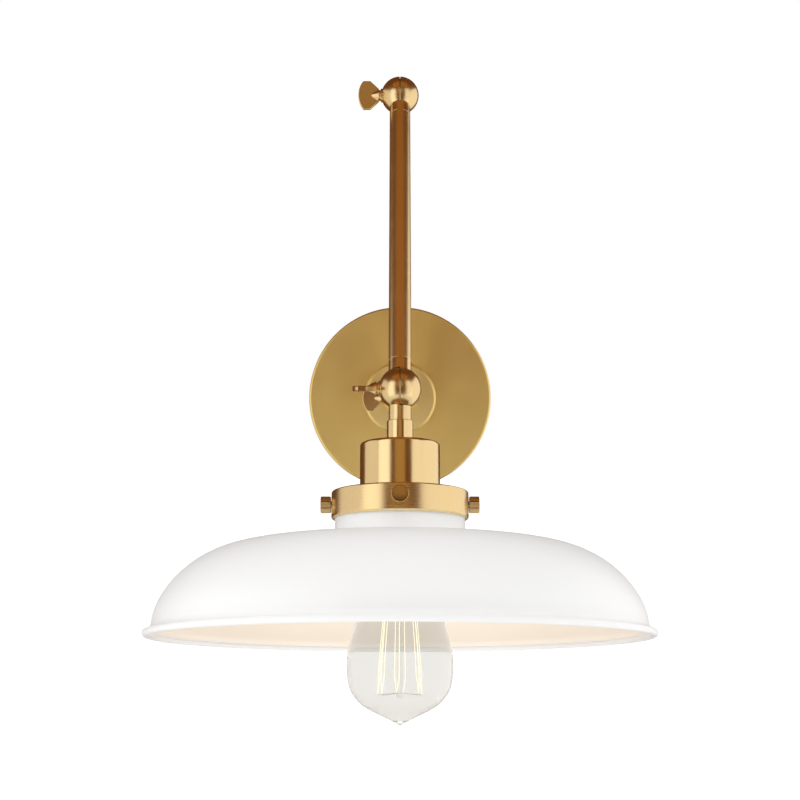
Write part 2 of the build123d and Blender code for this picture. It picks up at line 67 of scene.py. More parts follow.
@dataclass(frozen=True)
class Place:
    """Where a piece's own millimetre space lies: its origin, and the way its +Z points."""

    origin: Vector
    along: Vector

    def turn(self) -> Matrix:
        """Return the rotation from the piece's space, whose +X lies along the pins."""
        return Matrix((ACROSS, self.along.cross(ACROSS), self.along)).transposed()

    def matrix(self) -> Matrix:
        """Return the move from millimetres in the piece's space to metres in the frame."""
        return Matrix.Translation(self.origin) @ self.turn().to_4x4() @ Matrix.Scale(MM, 4)


def joint_place(name: str) -> Vector:
    """Return the middle of a joint's ball.

    Args:
        name: the joint's name.

    Returns:
        The joint's place at rest, in metres.
    """
    return Vector(next(joint["pos_m"] for joint in frame["joints"] if joint["name"] == name))


def node_middle(node: str) -> Vector:
    """Return the middle of a node's box."""
    low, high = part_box(node)
    return (Vector(low) + Vector(high)) / 2


def node_size(node: str) -> Vector:
    """Return the sides of a node's box in millimetres."""
    low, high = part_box(node)
    return (Vector(high) - Vector(low)) / MM


WALL_BALL = joint_place("wall_joint")
ELBOW_BALL = joint_place("elbow_joint")
SHADE_BALL = joint_place("shade_joint")
REAR_UP = (ELBOW_BALL - WALL_BALL).normalized()
FRONT_DOWN = (SHADE_BALL - ELBOW_BALL).normalized()
SHADE_DOWN = (node_middle("bulb_eyelet") - SHADE_BALL).normalized()
ARM_LENGTH = (ELBOW_BALL - WALL_BALL).length / MM
ON_WALL = Place(Vector((0.0, 0.0, 0.0)), OUTWARDS)
ON_HEAD = Place(SHADE_BALL, SHADE_DOWN)
ON_REAR_ARM = Place(WALL_BALL, REAR_UP)
ON_FRONT_ARM = Place(ELBOW_BALL, FRONT_DOWN)


# ---------------------------------------------------------------- shader expressions


class Signal:
    """A node socket that is used like a number in an expression."""

    def __init__(self, recipe: "Recipe", socket: bpy.types.NodeSocket) -> None:
        """Keep the socket and the recipe that it belongs to."""
        self.recipe = recipe
        self.socket = socket

    def _math(self, operation: str, first: Number, second: Number) -> "Signal":
        """Add a Math node.

        Args:
            operation: the node's operation.
            first: its first value or link.
            second: its second value or link.

        Returns:
            The node's result.
        """
        return self.recipe.add("ShaderNodeMath", {"operation": operation}, {0: first, 1: second})

    def __add__(self, other: Number) -> "Signal":
        """Return self + other."""
        return self._math("ADD", self, other)

    def __radd__(self, other: Number) -> "Signal":
        """Return other + self."""
        return self._math("ADD", other, self)

    def __sub__(self, other: Number) -> "Signal":
        """Return self - other."""
        return self._math("SUBTRACT", self, other)

    def __rsub__(self, other: Number) -> "Signal":
        """Return other - self."""
        return self._math("SUBTRACT", other, self)

    def __mul__(self, other: Number) -> "Signal":
        """Return self * other."""
        return self._math("MULTIPLY", self, other)

    def __rmul__(self, other: Number) -> "Signal":
        """Return other * self."""
        return self._math("MULTIPLY", other, self)

    def __truediv__(self, other: Number) -> "Signal":
        """Return self / other."""
        return self._math("DIVIDE", self, other)

    def __pow__(self, other: Number) -> "Signal":
        """Return self to the power of other."""
        return self._math("POWER", self, other)

    def turn_from(self, other: "Signal") -> "Signal":
        """Return the angle of (other, self) in radians."""
        return self._math("ARCTAN2", self, other)


class Recipe:
    """A material under construction."""

    def __init__(self, name: str) -> None:
        """Start an empty material.

        Args:
            name: its name.
        """
        self.material = bpy.data.materials.new(name)
        self.material.use_nodes = True
        self.tree = self.material.node_tree
        self.tree.nodes.clear()

    def add(
        self,
        kind: str,
        settings: Optional[dict] = None,
        inputs: Optional[dict] = None,
        output: Union[int, str] = 0,
    ) -> Signal:
        """Add a node of any type.

        Args:
            kind: the node's type.
            settings: its properties, and "stops" for a ramp, set before its sockets.
            inputs: the value or link of each socket, by name or number.
            output: the output to return.

        Returns:
            The chosen output.
        """
        node = self.tree.nodes.new(kind)
        for key, value in (settings or {}).items():
            if key == "stops":
                self._set_stops(node.color_ramp, value)
            else:
                setattr(node, key, value)
        for key, value in (inputs or {}).items():
            if isinstance(value, Signal):
                self.tree.links.new(value.socket, node.inputs[key])
            else:
                node.inputs[key].default_value = value
        return Signal(self, node.outputs[output])

    @staticmethod
    def _set_stops(ramp: bpy.types.ColorRamp, stops: Sequence[tuple[float, float]]) -> None:
        """Give a ramp its stops.

        Args:
            ramp: the ramp.
            stops: a (place, grey level) pair for each stop.
        """
        while len(ramp.elements) < len(stops):
            ramp.elements.new(1.0)
        for element, (position, level) in zip(ramp.elements, stops):
            element.position = position
            element.color = (level, level, level, 1.0)

    def local(self, place: Place) -> Signal:
        """Find the shaded point in a piece's own space.

        Args:
            place: where that space lies.

        Returns:
            The point, in millimetres.
        """
        return self.add(
            "ShaderNodeMapping",
            {"vector_type": "TEXTURE"},
            {
                "Vector": self.add("ShaderNodeTexCoord", output="Object"),
                "Location": place.origin,
                "Rotation": place.turn().to_euler(),
                "Scale": (MM, MM, MM),
            },
        )

    def parts(self, vector: Signal) -> tuple[Signal, Signal, Signal]:
        """Split a vector.

        Args:
            vector: the vector.

        Returns:
            Its three parts.
        """
        split = self.add("ShaderNodeSeparateXYZ", None, {0: vector})
        outputs = split.socket.node.outputs
        return Signal(self, outputs[0]), Signal(self, outputs[1]), Signal(self, outputs[2])

    def vector(self, x: Number, y: Number, z: Number) -> Signal:
        """Return a vector made of three numbers."""
        return self.add("ShaderNodeCombineXYZ", None, {0: x, 1: y, 2: z})

    def noise(self, vector: Signal, scale: float, detail: float = 2.0) -> Signal:
        """Add soft noise.

        Args:
            vector: where it is read.
            scale: its features for each unit of the vector.
            detail: its number of finer layers.

        Returns:
            A value from 0 to 1.
        """
        settings = {"noise_dimensions": "3D", "normalize": True}
        return self.add(
            "ShaderNodeTexNoise", settings, {"Vector": vector, "Scale": scale, "Detail": detail}
        )

    def stepped(self, value: Signal, stops: Sequence[tuple[float, float]]) -> Signal:
        """Return a value sent through a grey ramp."""
        return self.add("ShaderNodeValToRGB", {"stops": stops}, {0: value})

    def mixed(self, share: Number, first: Colour, second: Colour) -> Signal:
        """Return a colour between two colours, by a share of the second."""
        return self.add(
            "ShaderNodeMix",
            {"data_type": "RGBA"},
            {0: share, 6: (*first, 1.0), 7: (*second, 1.0)},
            2,
        )

    def bumped(self, height: Signal, depth: float, strength: float = 1.0) -> Signal:
        """Return a normal for a height from 0 to 1, with a depth in millimetres."""
        return self.add(
            "ShaderNodeBump", None, {"Height": height, "Distance": depth * MM, "Strength": strength}
        )

    def surface(self, sockets: dict) -> bpy.types.Material:
        """Close the material with a Principled shader.

        Args:
            sockets: the values and links of the shader's sockets.

        Returns:
            The finished material.
        """
        shader = self.add("ShaderNodeBsdfPrincipled", None, sockets)
        target = self.tree.nodes.new("ShaderNodeOutputMaterial")
        self.tree.links.new(shader.socket, target.inputs["Surface"])
        return self.material


# ---------------------------------------------------------------- finishes


class Lay(Enum):
    """The way in which a metal's fine tool lines run."""

    TURNED = "round the piece's axis"
    DRAWN = "along the piece's axis"
    POLISHED = "no lines, only faint wipe marks"


@dataclass(frozen=True)
class Metal:
    """Bare or lacquered metal with fine tool lines, cloudy lacquer and a few wipe marks."""

    name: str
    place: Place
    lay: Lay
    pale: Colour
    deep: Colour
    roughness: float
    lines_per_mm: float = 5.0
    line_depth: float = 0.004
    line_roughness: float = 0.10
    cloud_size: float = 22.0
    cloud_roughness: float = 0.05
    coat: float = 0.0

    def line_space(self, recipe: Recipe) -> Signal:
        """Return the stretched space in which noise becomes tool lines.

        Args:
            recipe: the material that the nodes go to.

        Returns:
            A vector.
        """
        point = recipe.local(self.place)
        x, y, z = recipe.parts(point)
        dense = self.lines_per_mm
        if self.lay is Lay.TURNED:
            radius = (x * x + y * y) ** 0.5
            return recipe.vector(radius * dense, z * dense, y.turn_from(x) * 1.5)
        if self.lay is Lay.DRAWN:
            return recipe.vector(x * dense, y * dense, z * 0.06)
        return recipe.vector(x * 0.5 + z * 0.9, y * 0.5 - z * 0.4, z * dense * 0.2)

    def material(self) -> bpy.types.Material:
        """Build the material.

        Returns:
            The material, ready for a piece.
        """
        recipe = Recipe(self.name)
        lines = recipe.noise(self.line_space(recipe), 1.0, 3.0)
        clouds = recipe.noise(recipe.local(self.place), 1.0 / self.cloud_size, 3.0)
        specks = recipe.noise(recipe.local(self.place), 2.2, 2.0)
        wipes = recipe.stepped(clouds, ((0.35, 0.0), (0.75, 1.0)))
        roughness = self.roughness + (lines - 0.5) * self.line_roughness
        roughness = roughness + (wipes - 0.5) * self.cloud_roughness
        share = clouds * 0.55 + lines * 0.3 + specks * 0.15
        return recipe.surface(
            {
                "Base Color": recipe.mixed(share, self.deep, self.pale),
                "Metallic": 1.0,
                "Roughness": roughness,
                "Coat Weight": self.coat,
                "Coat Roughness": 0.12,
                "Normal": recipe.bumped(lines, self.line_depth),
            }
        )


@dataclass(frozen=True)
class Enamel:
    """Sprayed and baked paint with a faint orange peel and a little dust in the film."""

    name: str
    pale: Colour
    deep: Colour
    roughness: float
    peel_size: float = 1.6
    peel_depth: float = 0.012

    def material(self) -> bpy.types.Material:
        """Build the material.

        Returns:
            The material, ready for a piece.
        """
        recipe = Recipe(self.name)
        point = recipe.local(ON_HEAD)
        peel = recipe.noise(point, 1.0 / self.peel_size, 2.0)
        clouds = recipe.noise(point, 0.02, 3.0)
        dust = recipe.stepped(recipe.noise(point, 1.3, 1.0), ((0.72, 0.0), (0.8, 1.0)))
        return recipe.surface(
            {
                "Base Color": recipe.mixed(clouds * 0.7 + dust * 0.3, self.pale, self.deep),
                "Roughness": self.roughness + clouds * 0.08 + dust * 0.1,
                "Specular IOR Level": 0.5,
                "Normal": recipe.bumped(peel, self.peel_depth, 0.6),
            }
        )


@dataclass(frozen=True)
class Moulding:
    """Moulded or fibrous non-metal: black lampholder, fibre washer, sleeve, insulator."""

    name: str
    pale: Colour
    deep: Colour
    roughness: float
    grain_size: float
    grain_depth: float

    def material(self) -> bpy.types.Material:
        """Build the material.

        Returns:
            The material, ready for a piece.
        """
        recipe = Recipe(self.name)
        point = recipe.local(ON_HEAD)
        grain = recipe.noise(point, 1.0 / self.grain_size, 4.0)
        clouds = recipe.noise(point, 0.05, 2.0)
        return recipe.surface(
            {
                "Base Color": recipe.mixed(clouds * 0.5 + grain * 0.5, self.deep, self.pale),
                "Roughness": self.roughness + (grain - 0.5) * 0.2,
                "Normal": recipe.bumped(grain, self.grain_depth),
            }
        )


WARM_WHITE = (1.0, 0.98, 0.93, 1.0)


@dataclass(frozen=True)
class BlownGlass:
    """Clear glass with slow draw marks and, in a lit bulb, a faint veil of light."""

    name: str
    tint: Colour
    roughness: float = 0.0
    veil: float = 0.0

    def material(self) -> bpy.types.Material:
        """Build the material.

        Returns:
            The material, ready for a piece.
        """
        recipe = Recipe(self.name)
        x, y, z = recipe.parts(recipe.local(ON_HEAD))
        draw = recipe.noise(recipe.vector(x * 0.05, y * 0.05, z * 0.02), 1.0, 1.0)
        deep = tuple(0.97 * part for part in self.tint)
        return recipe.surface(
            {
                "Base Color": recipe.mixed(draw, self.tint, deep),
                "Roughness": self.roughness + draw * 0.01,
                "IOR": 1.25,
                "Transmission Weight": 1.0,
                "Emission Color": WARM_WHITE,
                "Emission Strength": self.veil,
                "Normal": recipe.bumped(draw, 0.15, 0.3),
            }
        )


@dataclass(frozen=True)
class Glow:
    """The filament: a pale carbonised strand that glows a little unevenly."""

    name: str
    colour: Colour
    hot: Colour
    strength: float

    def material(self) -> bpy.types.Material:
        """Build the material.

        Returns:
            The material, ready for a piece.
        """
        recipe = Recipe(self.name)
        uneven = recipe.noise(recipe.local(ON_HEAD), 0.25, 2.0)
        glow = recipe.mixed(uneven, self.colour, self.hot)
        return recipe.surface(
            {
                "Base Color": glow,
                "Roughness": 0.5 + uneven * 0.2,
                "Emission Color": glow,
                "Emission Strength": self.strength,
            }
        )


BRASS_PALE = (0.93, 0.76, 0.42)
BRASS_DEEP = (0.88, 0.68, 0.33)


def brass(name: str, place: Place, lay: Lay, roughness: float, **detail: float) -> Metal:
    """Return a brass finish.

    Args:
        name: the material's name.
        place: the space that its lines follow.
        lay: how the lines run.
        roughness: the mean roughness.
        detail: any other size of the finish.

    Returns:
        The finish.
    """
    return Metal(name, place, lay, BRASS_PALE, BRASS_DEEP, roughness, **detail)


class Finishes:
    """Every material of the lamp, made once."""

    def __init__(self) -> None:
        """Build the materials."""
        self.plate = brass(
            "satin_brass_plate", ON_WALL, Lay.TURNED, 0.46, lines_per_mm=3.5, line_depth=0.006
        )
        self.plate = replace(self.plate, pale=(1.0, 0.82, 0.33), deep=(0.98, 0.77, 0.27)).material()
        self.boss = brass("satin_brass_boss_painted_bright", ON_WALL, Lay.TURNED, 0.54)
        # The boss's brass is paler than the plate's: painted highlight, so that the raised boss reads brighter
        # than the plate around it.
        self.boss = replace(self.boss, pale=(1.0, 0.87, 0.42), deep=(1.0, 0.82, 0.36)).material()
        self.ring = brass("satin_brass_ring", ON_HEAD, Lay.TURNED, 0.27, line_depth=0.002).material()
        self.cap = brass("satin_brass_cap", ON_HEAD, Lay.TURNED, 0.2, line_depth=0.002).material()
        drawn = {"lay": Lay.DRAWN, "roughness": 0.34, "line_depth": 0.001}
        self.rear_tube = brass("drawn_brass_rear", ON_REAR_ARM, **drawn).material()
        self.front_tube = brass("drawn_brass_front", ON_FRONT_ARM, **drawn).material()
        self.ball = brass(
            "polished_brass", ON_HEAD, Lay.POLISHED, 0.27, line_depth=0.0008, line_roughness=0.03
        ).material()
        self.screw = brass("knurled_brass", ON_HEAD, Lay.POLISHED, 0.24)
        self.screw = replace(self.screw, pale=(0.74, 0.56, 0.29), deep=(0.64, 0.46, 0.22)).material()
        steel = ((0.66, 0.67, 0.69), (0.50, 0.51, 0.53), 0.32)
        self.steel = Metal("zinc_plate", ON_WALL, Lay.DRAWN, *steel, cloud_size=9.0).material()
        green = ((0.05, 0.30, 0.11), (0.02, 0.16, 0.06), 0.38)
        self.green = Metal("green_plate", ON_WALL, Lay.TURNED, *green).material()
        nickel = ((0.80, 0.78, 0.73), (0.66, 0.63, 0.58), 0.2)
        self.nickel = Metal("nickel_plate", ON_HEAD, Lay.TURNED, *nickel).material()
        solder = ((0.62, 0.62, 0.63), (0.45, 0.45, 0.47), 0.45)
        self.solder = Metal("solder", ON_HEAD, Lay.POLISHED, *solder, cloud_size=3.0).material()
        wire = ((0.50, 0.48, 0.45), (0.36, 0.34, 0.31), 0.3)
        self.wire = Metal("support_wire", ON_HEAD, Lay.POLISHED, *wire).material()
        self.spring = brass("spring_brass", ON_HEAD, Lay.DRAWN, 0.3).material()
        self.outside = Enamel("white_enamel", (0.90, 0.90, 0.895), (0.86, 0.86, 0.855), 0.36)
        self.outside = self.outside.material()
        self.inside = Enamel("cream_enamel", (0.95, 0.86, 0.75), (0.93, 0.83, 0.72), 0.42).material()
        self.holder = Moulding(
            "black_moulding", (0.035, 0.033, 0.03), (0.018, 0.017, 0.016), 0.38, 0.35, 0.01
        ).material()
        self.fibre = Moulding(
            "fibre_washer", (0.16, 0.11, 0.07), (0.09, 0.06, 0.04), 0.75, 0.25, 0.03
        ).material()
        self.sleeve = Moulding(
            "woven_sleeve", (0.09, 0.08, 0.07), (0.03, 0.03, 0.03), 0.8, 0.6, 0.12
        ).material()
        self.insulator = Moulding(
            "black_glass", (0.03, 0.02, 0.04), (0.01, 0.01, 0.015), 0.12, 1.5, 0.01
        ).material()
        self.glass = BlownGlass("clear_glass", (0.66, 0.655, 0.64), veil=0.09).material()
        self.mount = BlownGlass("mount_glass", (0.93, 0.94, 0.93)).material()
        self.filament = Glow("carbon_filament", (1.0, 0.84, 0.48), (1.0, 0.93, 0.72), 1.1).material()


# ---------------------------------------------------------------- modelling


@dataclass(frozen=True)
class Corner:
    """One corner of a turned outline: radius, height along the axis, and its rounding."""

    radius: float
    height: float
    rounding: float = 0.0


class Joining(Enum):
    """How one closed shape changes another."""

    ADD = "UNION"
    CUT = "DIFFERENCE"
    KEEP = "INTERSECT"


def arc(middle: Sequence[float], radius: float, start: float, end: float, steps: int) -> list[Corner]:
    """Return corners along a round stretch of an outline.

    Args:
        middle: the arc's centre, as radius and height.
        radius: the arc's radius.
        start: the angle that it starts at, in degrees from the outward direction.
        end: the angle that it ends at.
        steps: the number of stretches.

    Returns:
        The corners, with both ends.
    """
    turns = [math.radians(start + (end - start) * step / steps) for step in range(steps + 1)]
    return [
        Corner(middle[0] + radius * math.cos(turn), middle[1] + radius * math.sin(turn))
        for turn in turns
    ]


def smooth_outline(knots: Sequence[tuple[float, float]], steps: int) -> list[Corner]:
    """Return a smooth outline through a few knots, flat along the axis at both ends.

    Args:
        knots: (radius, height) pairs.
        steps: the number of points between two knots.

    Returns:
        The corners.
    """
    points = [Vector((*knot, 0.0)) for knot in knots]
    slopes = [points[1] - points[0]]
    slopes += [(after - before) / 2 for before, after in zip(points, points[2:])]
    slopes.append(points[-1] - points[-2])
    line: list[Vector] = []
    for index in range(len(points) - 1):
        first, second = points[index], points[index + 1]
        handles = (first + slopes[index] / 3, second - slopes[index + 1] / 3)
        line += interpolate_bezier(first, *handles, second, steps)[: -1]
    line.append(points[-1])
    return [Corner(max(point.x, 0.0), point.y) for point in line]


def add_support(shape: bmesh.types.BMesh, distance: float = 0.15) -> None:
    """Split long edges of a wire outline close to their ends, so that flats stay flat.

    Args:
        shape: the outline.
        distance: how far from each end, in millimetres.
    """
    for edge in list(shape.edges):
        length = edge.calc_length()
        if length > 8 * distance:
            far = edge.verts[1]
            rest, _ = bmesh.utils.edge_split(edge, edge.verts[0], distance / length)
            remaining = next(e for e in far.link_edges if e in (rest, edge))
            bmesh.utils.edge_split(remaining, far, distance / remaining.calc_length())


def turned(outline: Sequence[Corner], steps: int = 96, segments: int = 4) -> bmesh.types.BMesh:
    """Spin an outline round the piece's axis.

    Args:
        outline: its corners; it is closed unless it starts and ends on the axis.
        steps: how many steps a full turn has.
        segments: how many steps a rounded corner has.

    Returns:
        The closed shape.
    """
    shape = bmesh.new()
    points = [shape.verts.new((corner.radius, 0.0, corner.height)) for corner in outline]
    pairs = list(zip(points, points[1:]))
    if outline[0].radius > 0 or outline[-1].radius > 0:
        pairs.append((points[-1], points[0]))
    for first, second in pairs:
        shape.edges.new((first, second))
    for rounding in sorted({corner.rounding for corner in outline if corner.rounding}):
        chosen = [p for p, corner in zip(points, outline) if corner.rounding == rounding]
        bmesh.ops.bevel(
            shape,
            geom=chosen,
            offset=rounding,
            offset_type="OFFSET",
            affect="VERTICES",
            segments=segments,
            profile=0.5,
            material=-1,
        )
    add_support(shape)
    bmesh.ops.spin(
        shape,
        geom=shape.verts[:] + shape.edges[:],
        cent=(0, 0, 0),
        axis=(0, 0, 1),
        dvec=(0, 0, 0),
        angle=2 * math.pi,
        steps=steps,
        use_merge=True,
        use_duplicate=False,
    )
    bmesh.ops.remove_doubles(shape, verts=shape.verts[:], dist=1e-4)
    bmesh.ops.recalc_face_normals(shape, faces=shape.faces[:])
    return shape


def prism(corners: Sequence[tuple[float, float]], low: float, high: float) -> bmesh.types.BMesh:
    """Return a flat outline in X and Y, extruded along Z.

    Args:
        corners: the outline.
        low: the Z of its first face.
        high: the Z of its second face.

    Returns:
        The closed shape.
    """
    shape = bmesh.new()
    face = shape.faces.new([shape.verts.new((x, y, low)) for x, y in corners])
    raised = bmesh.ops.extrude_face_region(shape, geom=[face])["geom"]
    moved = [item for item in raised if isinstance(item, bmesh.types.BMVert)]
    bmesh.ops.translate(shape, verts=moved, vec=(0, 0, high - low))
    bmesh.ops.recalc_face_normals(shape, faces=shape.faces[:])
    return shape


def moved(shape: bmesh.types.BMesh, matrix: Matrix) -> bmesh.types.BMesh:
    """Move a shape in its own space and return it."""
    bmesh.ops.transform(shape, matrix=matrix, verts=shape.verts[:])
    return shape


def rounded_edges(shape: bmesh.types.BMesh, offset: float, sharp: float = 40.0) -> bmesh.types.BMesh:
    """Bevel every edge sharper than an angle.

    Args:
        shape: the shape.
        offset: the bevel's width in millimetres.
        sharp: the angle in degrees.

    Returns:
        The same shape.
    """
    limit = math.radians(sharp)
    edges = [edge for edge in shape.edges if len(edge.link_faces) == 2]
    edges = [edge for edge in edges if edge.calc_face_angle(0.0) > limit]
    bmesh.ops.bevel(
        shape, geom=edges, offset=offset, affect="EDGES", segments=3, profile=0.5, material=-1
    )
    return shape


def joined(base: bmesh.types.BMesh, tool: bmesh.types.BMesh, how: Joining) -> bmesh.types.BMesh:
    """Add, cut or intersect two closed shapes.

    Args:
        base: the shape that is changed.
        tool: the shape that changes it.
        how: what is done.

    Returns:
        The new shape; both others are used up.
    """
    scratch = []
    for shape in (base, tool):
        mesh = bpy.data.meshes.new("scratch")
        shape.to_mesh(mesh)
        shape.free()
        scratch.append(bpy.data.objects.new("scratch", mesh))
        bpy.context.scene.collection.objects.link(scratch[-1])
    modifier = scratch[0].modifiers.new("join", "BOOLEAN")
    modifier.object = scratch[1]
    modifier.operation = how.value
    modifier.solver = "EXACT"
    result = bmesh.new()
    result.from_object(scratch[0], bpy.context.evaluated_depsgraph_get())
    for item in scratch:
        mesh = item.data
        bpy.data.objects.remove(item)
        bpy.data.meshes.remove(mesh)
    bmesh.ops.remove_doubles(result, verts=result.verts[:], dist=1e-4)
    bmesh.ops.recalc_face_normals(result, faces=result.faces[:])
    return result


@dataclass
class Piece:
    """One visible piece, with what it stands for and what it moves with."""

    name: str
    node: str
    place: Place
    finish: bpy.types.Material
    sharp: float = 32.0

    def put(self, shape: bmesh.types.BMesh) -> bpy.types.Object:
        """Turn a shape in the piece's own space into an object that rides on its body.

        Args:
            shape: the shape, in millimetres; it is used up.

        Returns:
            The object.
        """
        bmesh.ops.transform(shape, matrix=self.place.matrix(), verts=shape.verts[:])
        mesh = bpy.data.meshes.new(self.name)
        shape.to_mesh(mesh)
        shape.free()
        mesh.polygons.foreach_set("use_smooth", [True] * len(mesh.polygons))
        mesh.set_sharp_from_angle(angle=math.radians(self.sharp))
        mesh.materials.append(self.finish)
        thing = bpy.data.objects.new(self.name, mesh)
        bpy.context.scene.collection.objects.link(thing)
        record = frame["record"]
        groups = record["behaviour"]["bodies"]
        body = next(name for name, nodes in groups.items() if self.node in nodes)
        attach(thing, body)
        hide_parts(self.node)
        log.info("%s: %d faces, rides on %s", self.name, len(mesh.polygons), body)
        return thing


def rod(start: float, end: float, radius: float, steps: int = 24) -> bmesh.types.BMesh:
    """Return a plain rod along the piece's axis, mostly for cutting holes."""
    return turned([Corner(0, start), Corner(radius, start), Corner(radius, end), Corner(0, end)], steps)


def sideways(shape: bmesh.types.BMesh, side: int) -> bmesh.types.BMesh:
    """Turn a shape's axis from +Z to +X or -X."""
    return moved(shape, Matrix.Rotation(math.radians(90 * side), 4, "Y"))


# ---------------------------------------------------------------- joints and arms


class Side(Enum):
    """The side of the seam on which a half ball lies."""

    LEFT = -1
    RIGHT = 1


@dataclass
class SplitBall:
    """Sizes that all half balls share."""

    ball_radius: float = 13.35
    seam_gap: float = 0.4
    seam_step: float = 0.02
    seam_edge: float = 0.35
    scoop_gap: float = 0.5
    pin_radius: float = 2.55
    seat_distance: float = 12.4
    wire_way_radius: float = 2.6
    wire_way_start: float = 6.8
    steps: int = 112

    def half_ball(self, radius: float, side: int, edge: float) -> bmesh.types.BMesh:
        """Return a half ball beside the seam.

        Args:
            radius: its radius.
            side: 1 for the right half, -1 for the left.
            edge: the rounding of its rim.

        Returns:
            The closed shape.
        """
        face = self.seam_gap / 2
        start = math.degrees(math.asin(face / radius))
        rim = arc((0.0, 0.0), radius, start, 90.0, 40)
        rim[0] = Corner(rim[0].radius, rim[0].height, edge)
        rim[-1] = Corner(0.0, radius)
        return sideways(turned([Corner(0.0, face)] + rim, self.steps, 3), side)

    def build(
        self, piece: Piece, side: Side, shank: float, shank_end: float, tail: float, tail_end: float
    ) -> None:
        """Make a half ball with its shank and spigot.

        Args:
            piece: the piece that it becomes.
            side: the side of the seam that the half ball is on.
            shank: the shank's radius.
            shank_end: the distance of the shank's end from the ball's middle.
            tail: the radius of the spigot or threaded tail.
            tail_end: the distance of its end.
        """
        sign = side.value
        outline = [
            Corner(0, 0),
            Corner(shank, 0),
            Corner(shank, shank_end, 0.2),
            Corner(tail, shank_end),
            Corner(tail, tail_end, 0.3),
            Corner(0, tail_end),
        ]
        shape = turned(outline, 64, 3)
        scoop_radius = self.ball_radius + self.scoop_gap
        scoop = moved(
            self.half_ball(scoop_radius, -sign, 0.0),
            Matrix.Translation((sign * (self.seam_gap - self.seam_step), 0, 0)),
        )
        shape = joined(shape, scoop, Joining.CUT)
        shape = joined(shape, self.half_ball(self.ball_radius, sign, self.seam_edge), Joining.ADD)
        start = -1.0 if side is Side.LEFT else -1.0
        end = self.ball_radius + 1 if side is Side.LEFT else 10.5
        shape = joined(shape, sideways(rod(start, end, self.pin_radius), sign), Joining.CUT)
        if side is Side.LEFT:
            seat = rod(self.seat_distance, self.ball_radius + 1, 5.3, 48)
            shape = joined(shape, sideways(seat, sign), Joining.CUT)
        way = rod(self.wire_way_start, tail_end + 1, self.wire_way_radius)
        piece.put(joined(shape, way, Joining.CUT))


@dataclass
class Thumbscrew:
    """Spade-headed screw that clamps a split ball and is its pin."""

    pin_radius: float = 2.5
    pin_depth: float = 9.5
    seat: float = 12.4
    collar_end: float = 13.6
    collar_radius: float = 4.9
    waist_radius: float = 3.8
    cone_start: float = 15.2
    cone_radius: float = 4.6
    cone_end: float = 20.6
    shoulder: float = 21.2
    corner: float = 26.1
    end: float = 29.8
    half_height: float = 10.1
    thickness: float = 3.4

    def paddle(self) -> bmesh.types.BMesh:
        """Make the flat paddle, seen along Z, with its stem towards +X.

        Returns:
            The closed shape.
        """
        bulge = self.end - self.corner
        radius = (bulge * bulge + self.half_height ** 2) / (2 * bulge)
        half_turn = math.degrees(math.asin(self.half_height / radius))
        middle = (-self.end + radius, 0.0)
        outer = arc(middle, radius, 180 - half_turn, 180 + half_turn, 14)
        corners = [(corner.radius, corner.height) for corner in outer]
        corners += [
            (-self.shoulder, -self.half_height),
            (-self.cone_start, -self.cone_radius),
            (-self.cone_start, self.cone_radius),
            (-self.shoulder, self.half_height),
        ]
        shape = prism(corners, -self.thickness / 2, self.thickness / 2)
        rims = [edge for edge in shape.edges if abs(edge.verts[0].co.z - edge.verts[1].co.z) < 1e-6]
        bmesh.ops.bevel(
            shape, geom=rims, offset=0.5, affect="EDGES", segments=1, profile=0.5, material=-1
        )
        return shape

    def build(self, name: str, centre: Vector, face_out: bool, finish: bpy.types.Material) -> None:
        """Make one thumbscrew.

        Args:
            name: the name of the screw and of its node.
            centre: the middle of its ball.
            face_out: true if the flat of the paddle faces away from the wall.
            finish: its material.
        """
        outline = [
            Corner(0, -self.pin_depth),
            Corner(self.pin_radius, -self.pin_depth, 0.4),
            Corner(self.pin_radius, self.seat),
            Corner(self.collar_radius, self.seat, 0.25),
            Corner(self.collar_radius, self.collar_end, 0.4),
            Corner(self.waist_radius, self.collar_end + 0.2, 0.3),
            Corner(self.waist_radius, self.cone_start - 0.4, 0.3),
            Corner(self.cone_radius, self.cone_start, 0.3),
            Corner(self.thickness / 2, self.cone_end, 0.5),
            Corner(0, self.cone_end),
        ]
        shape = sideways(turned(outline, 56, 3), -1)
        shape = joined(shape, self.paddle(), Joining.ADD)
        along = OUTWARDS if face_out else UP
        Piece(name, name, Place(centre, along), finish, 24.0).put(shape)


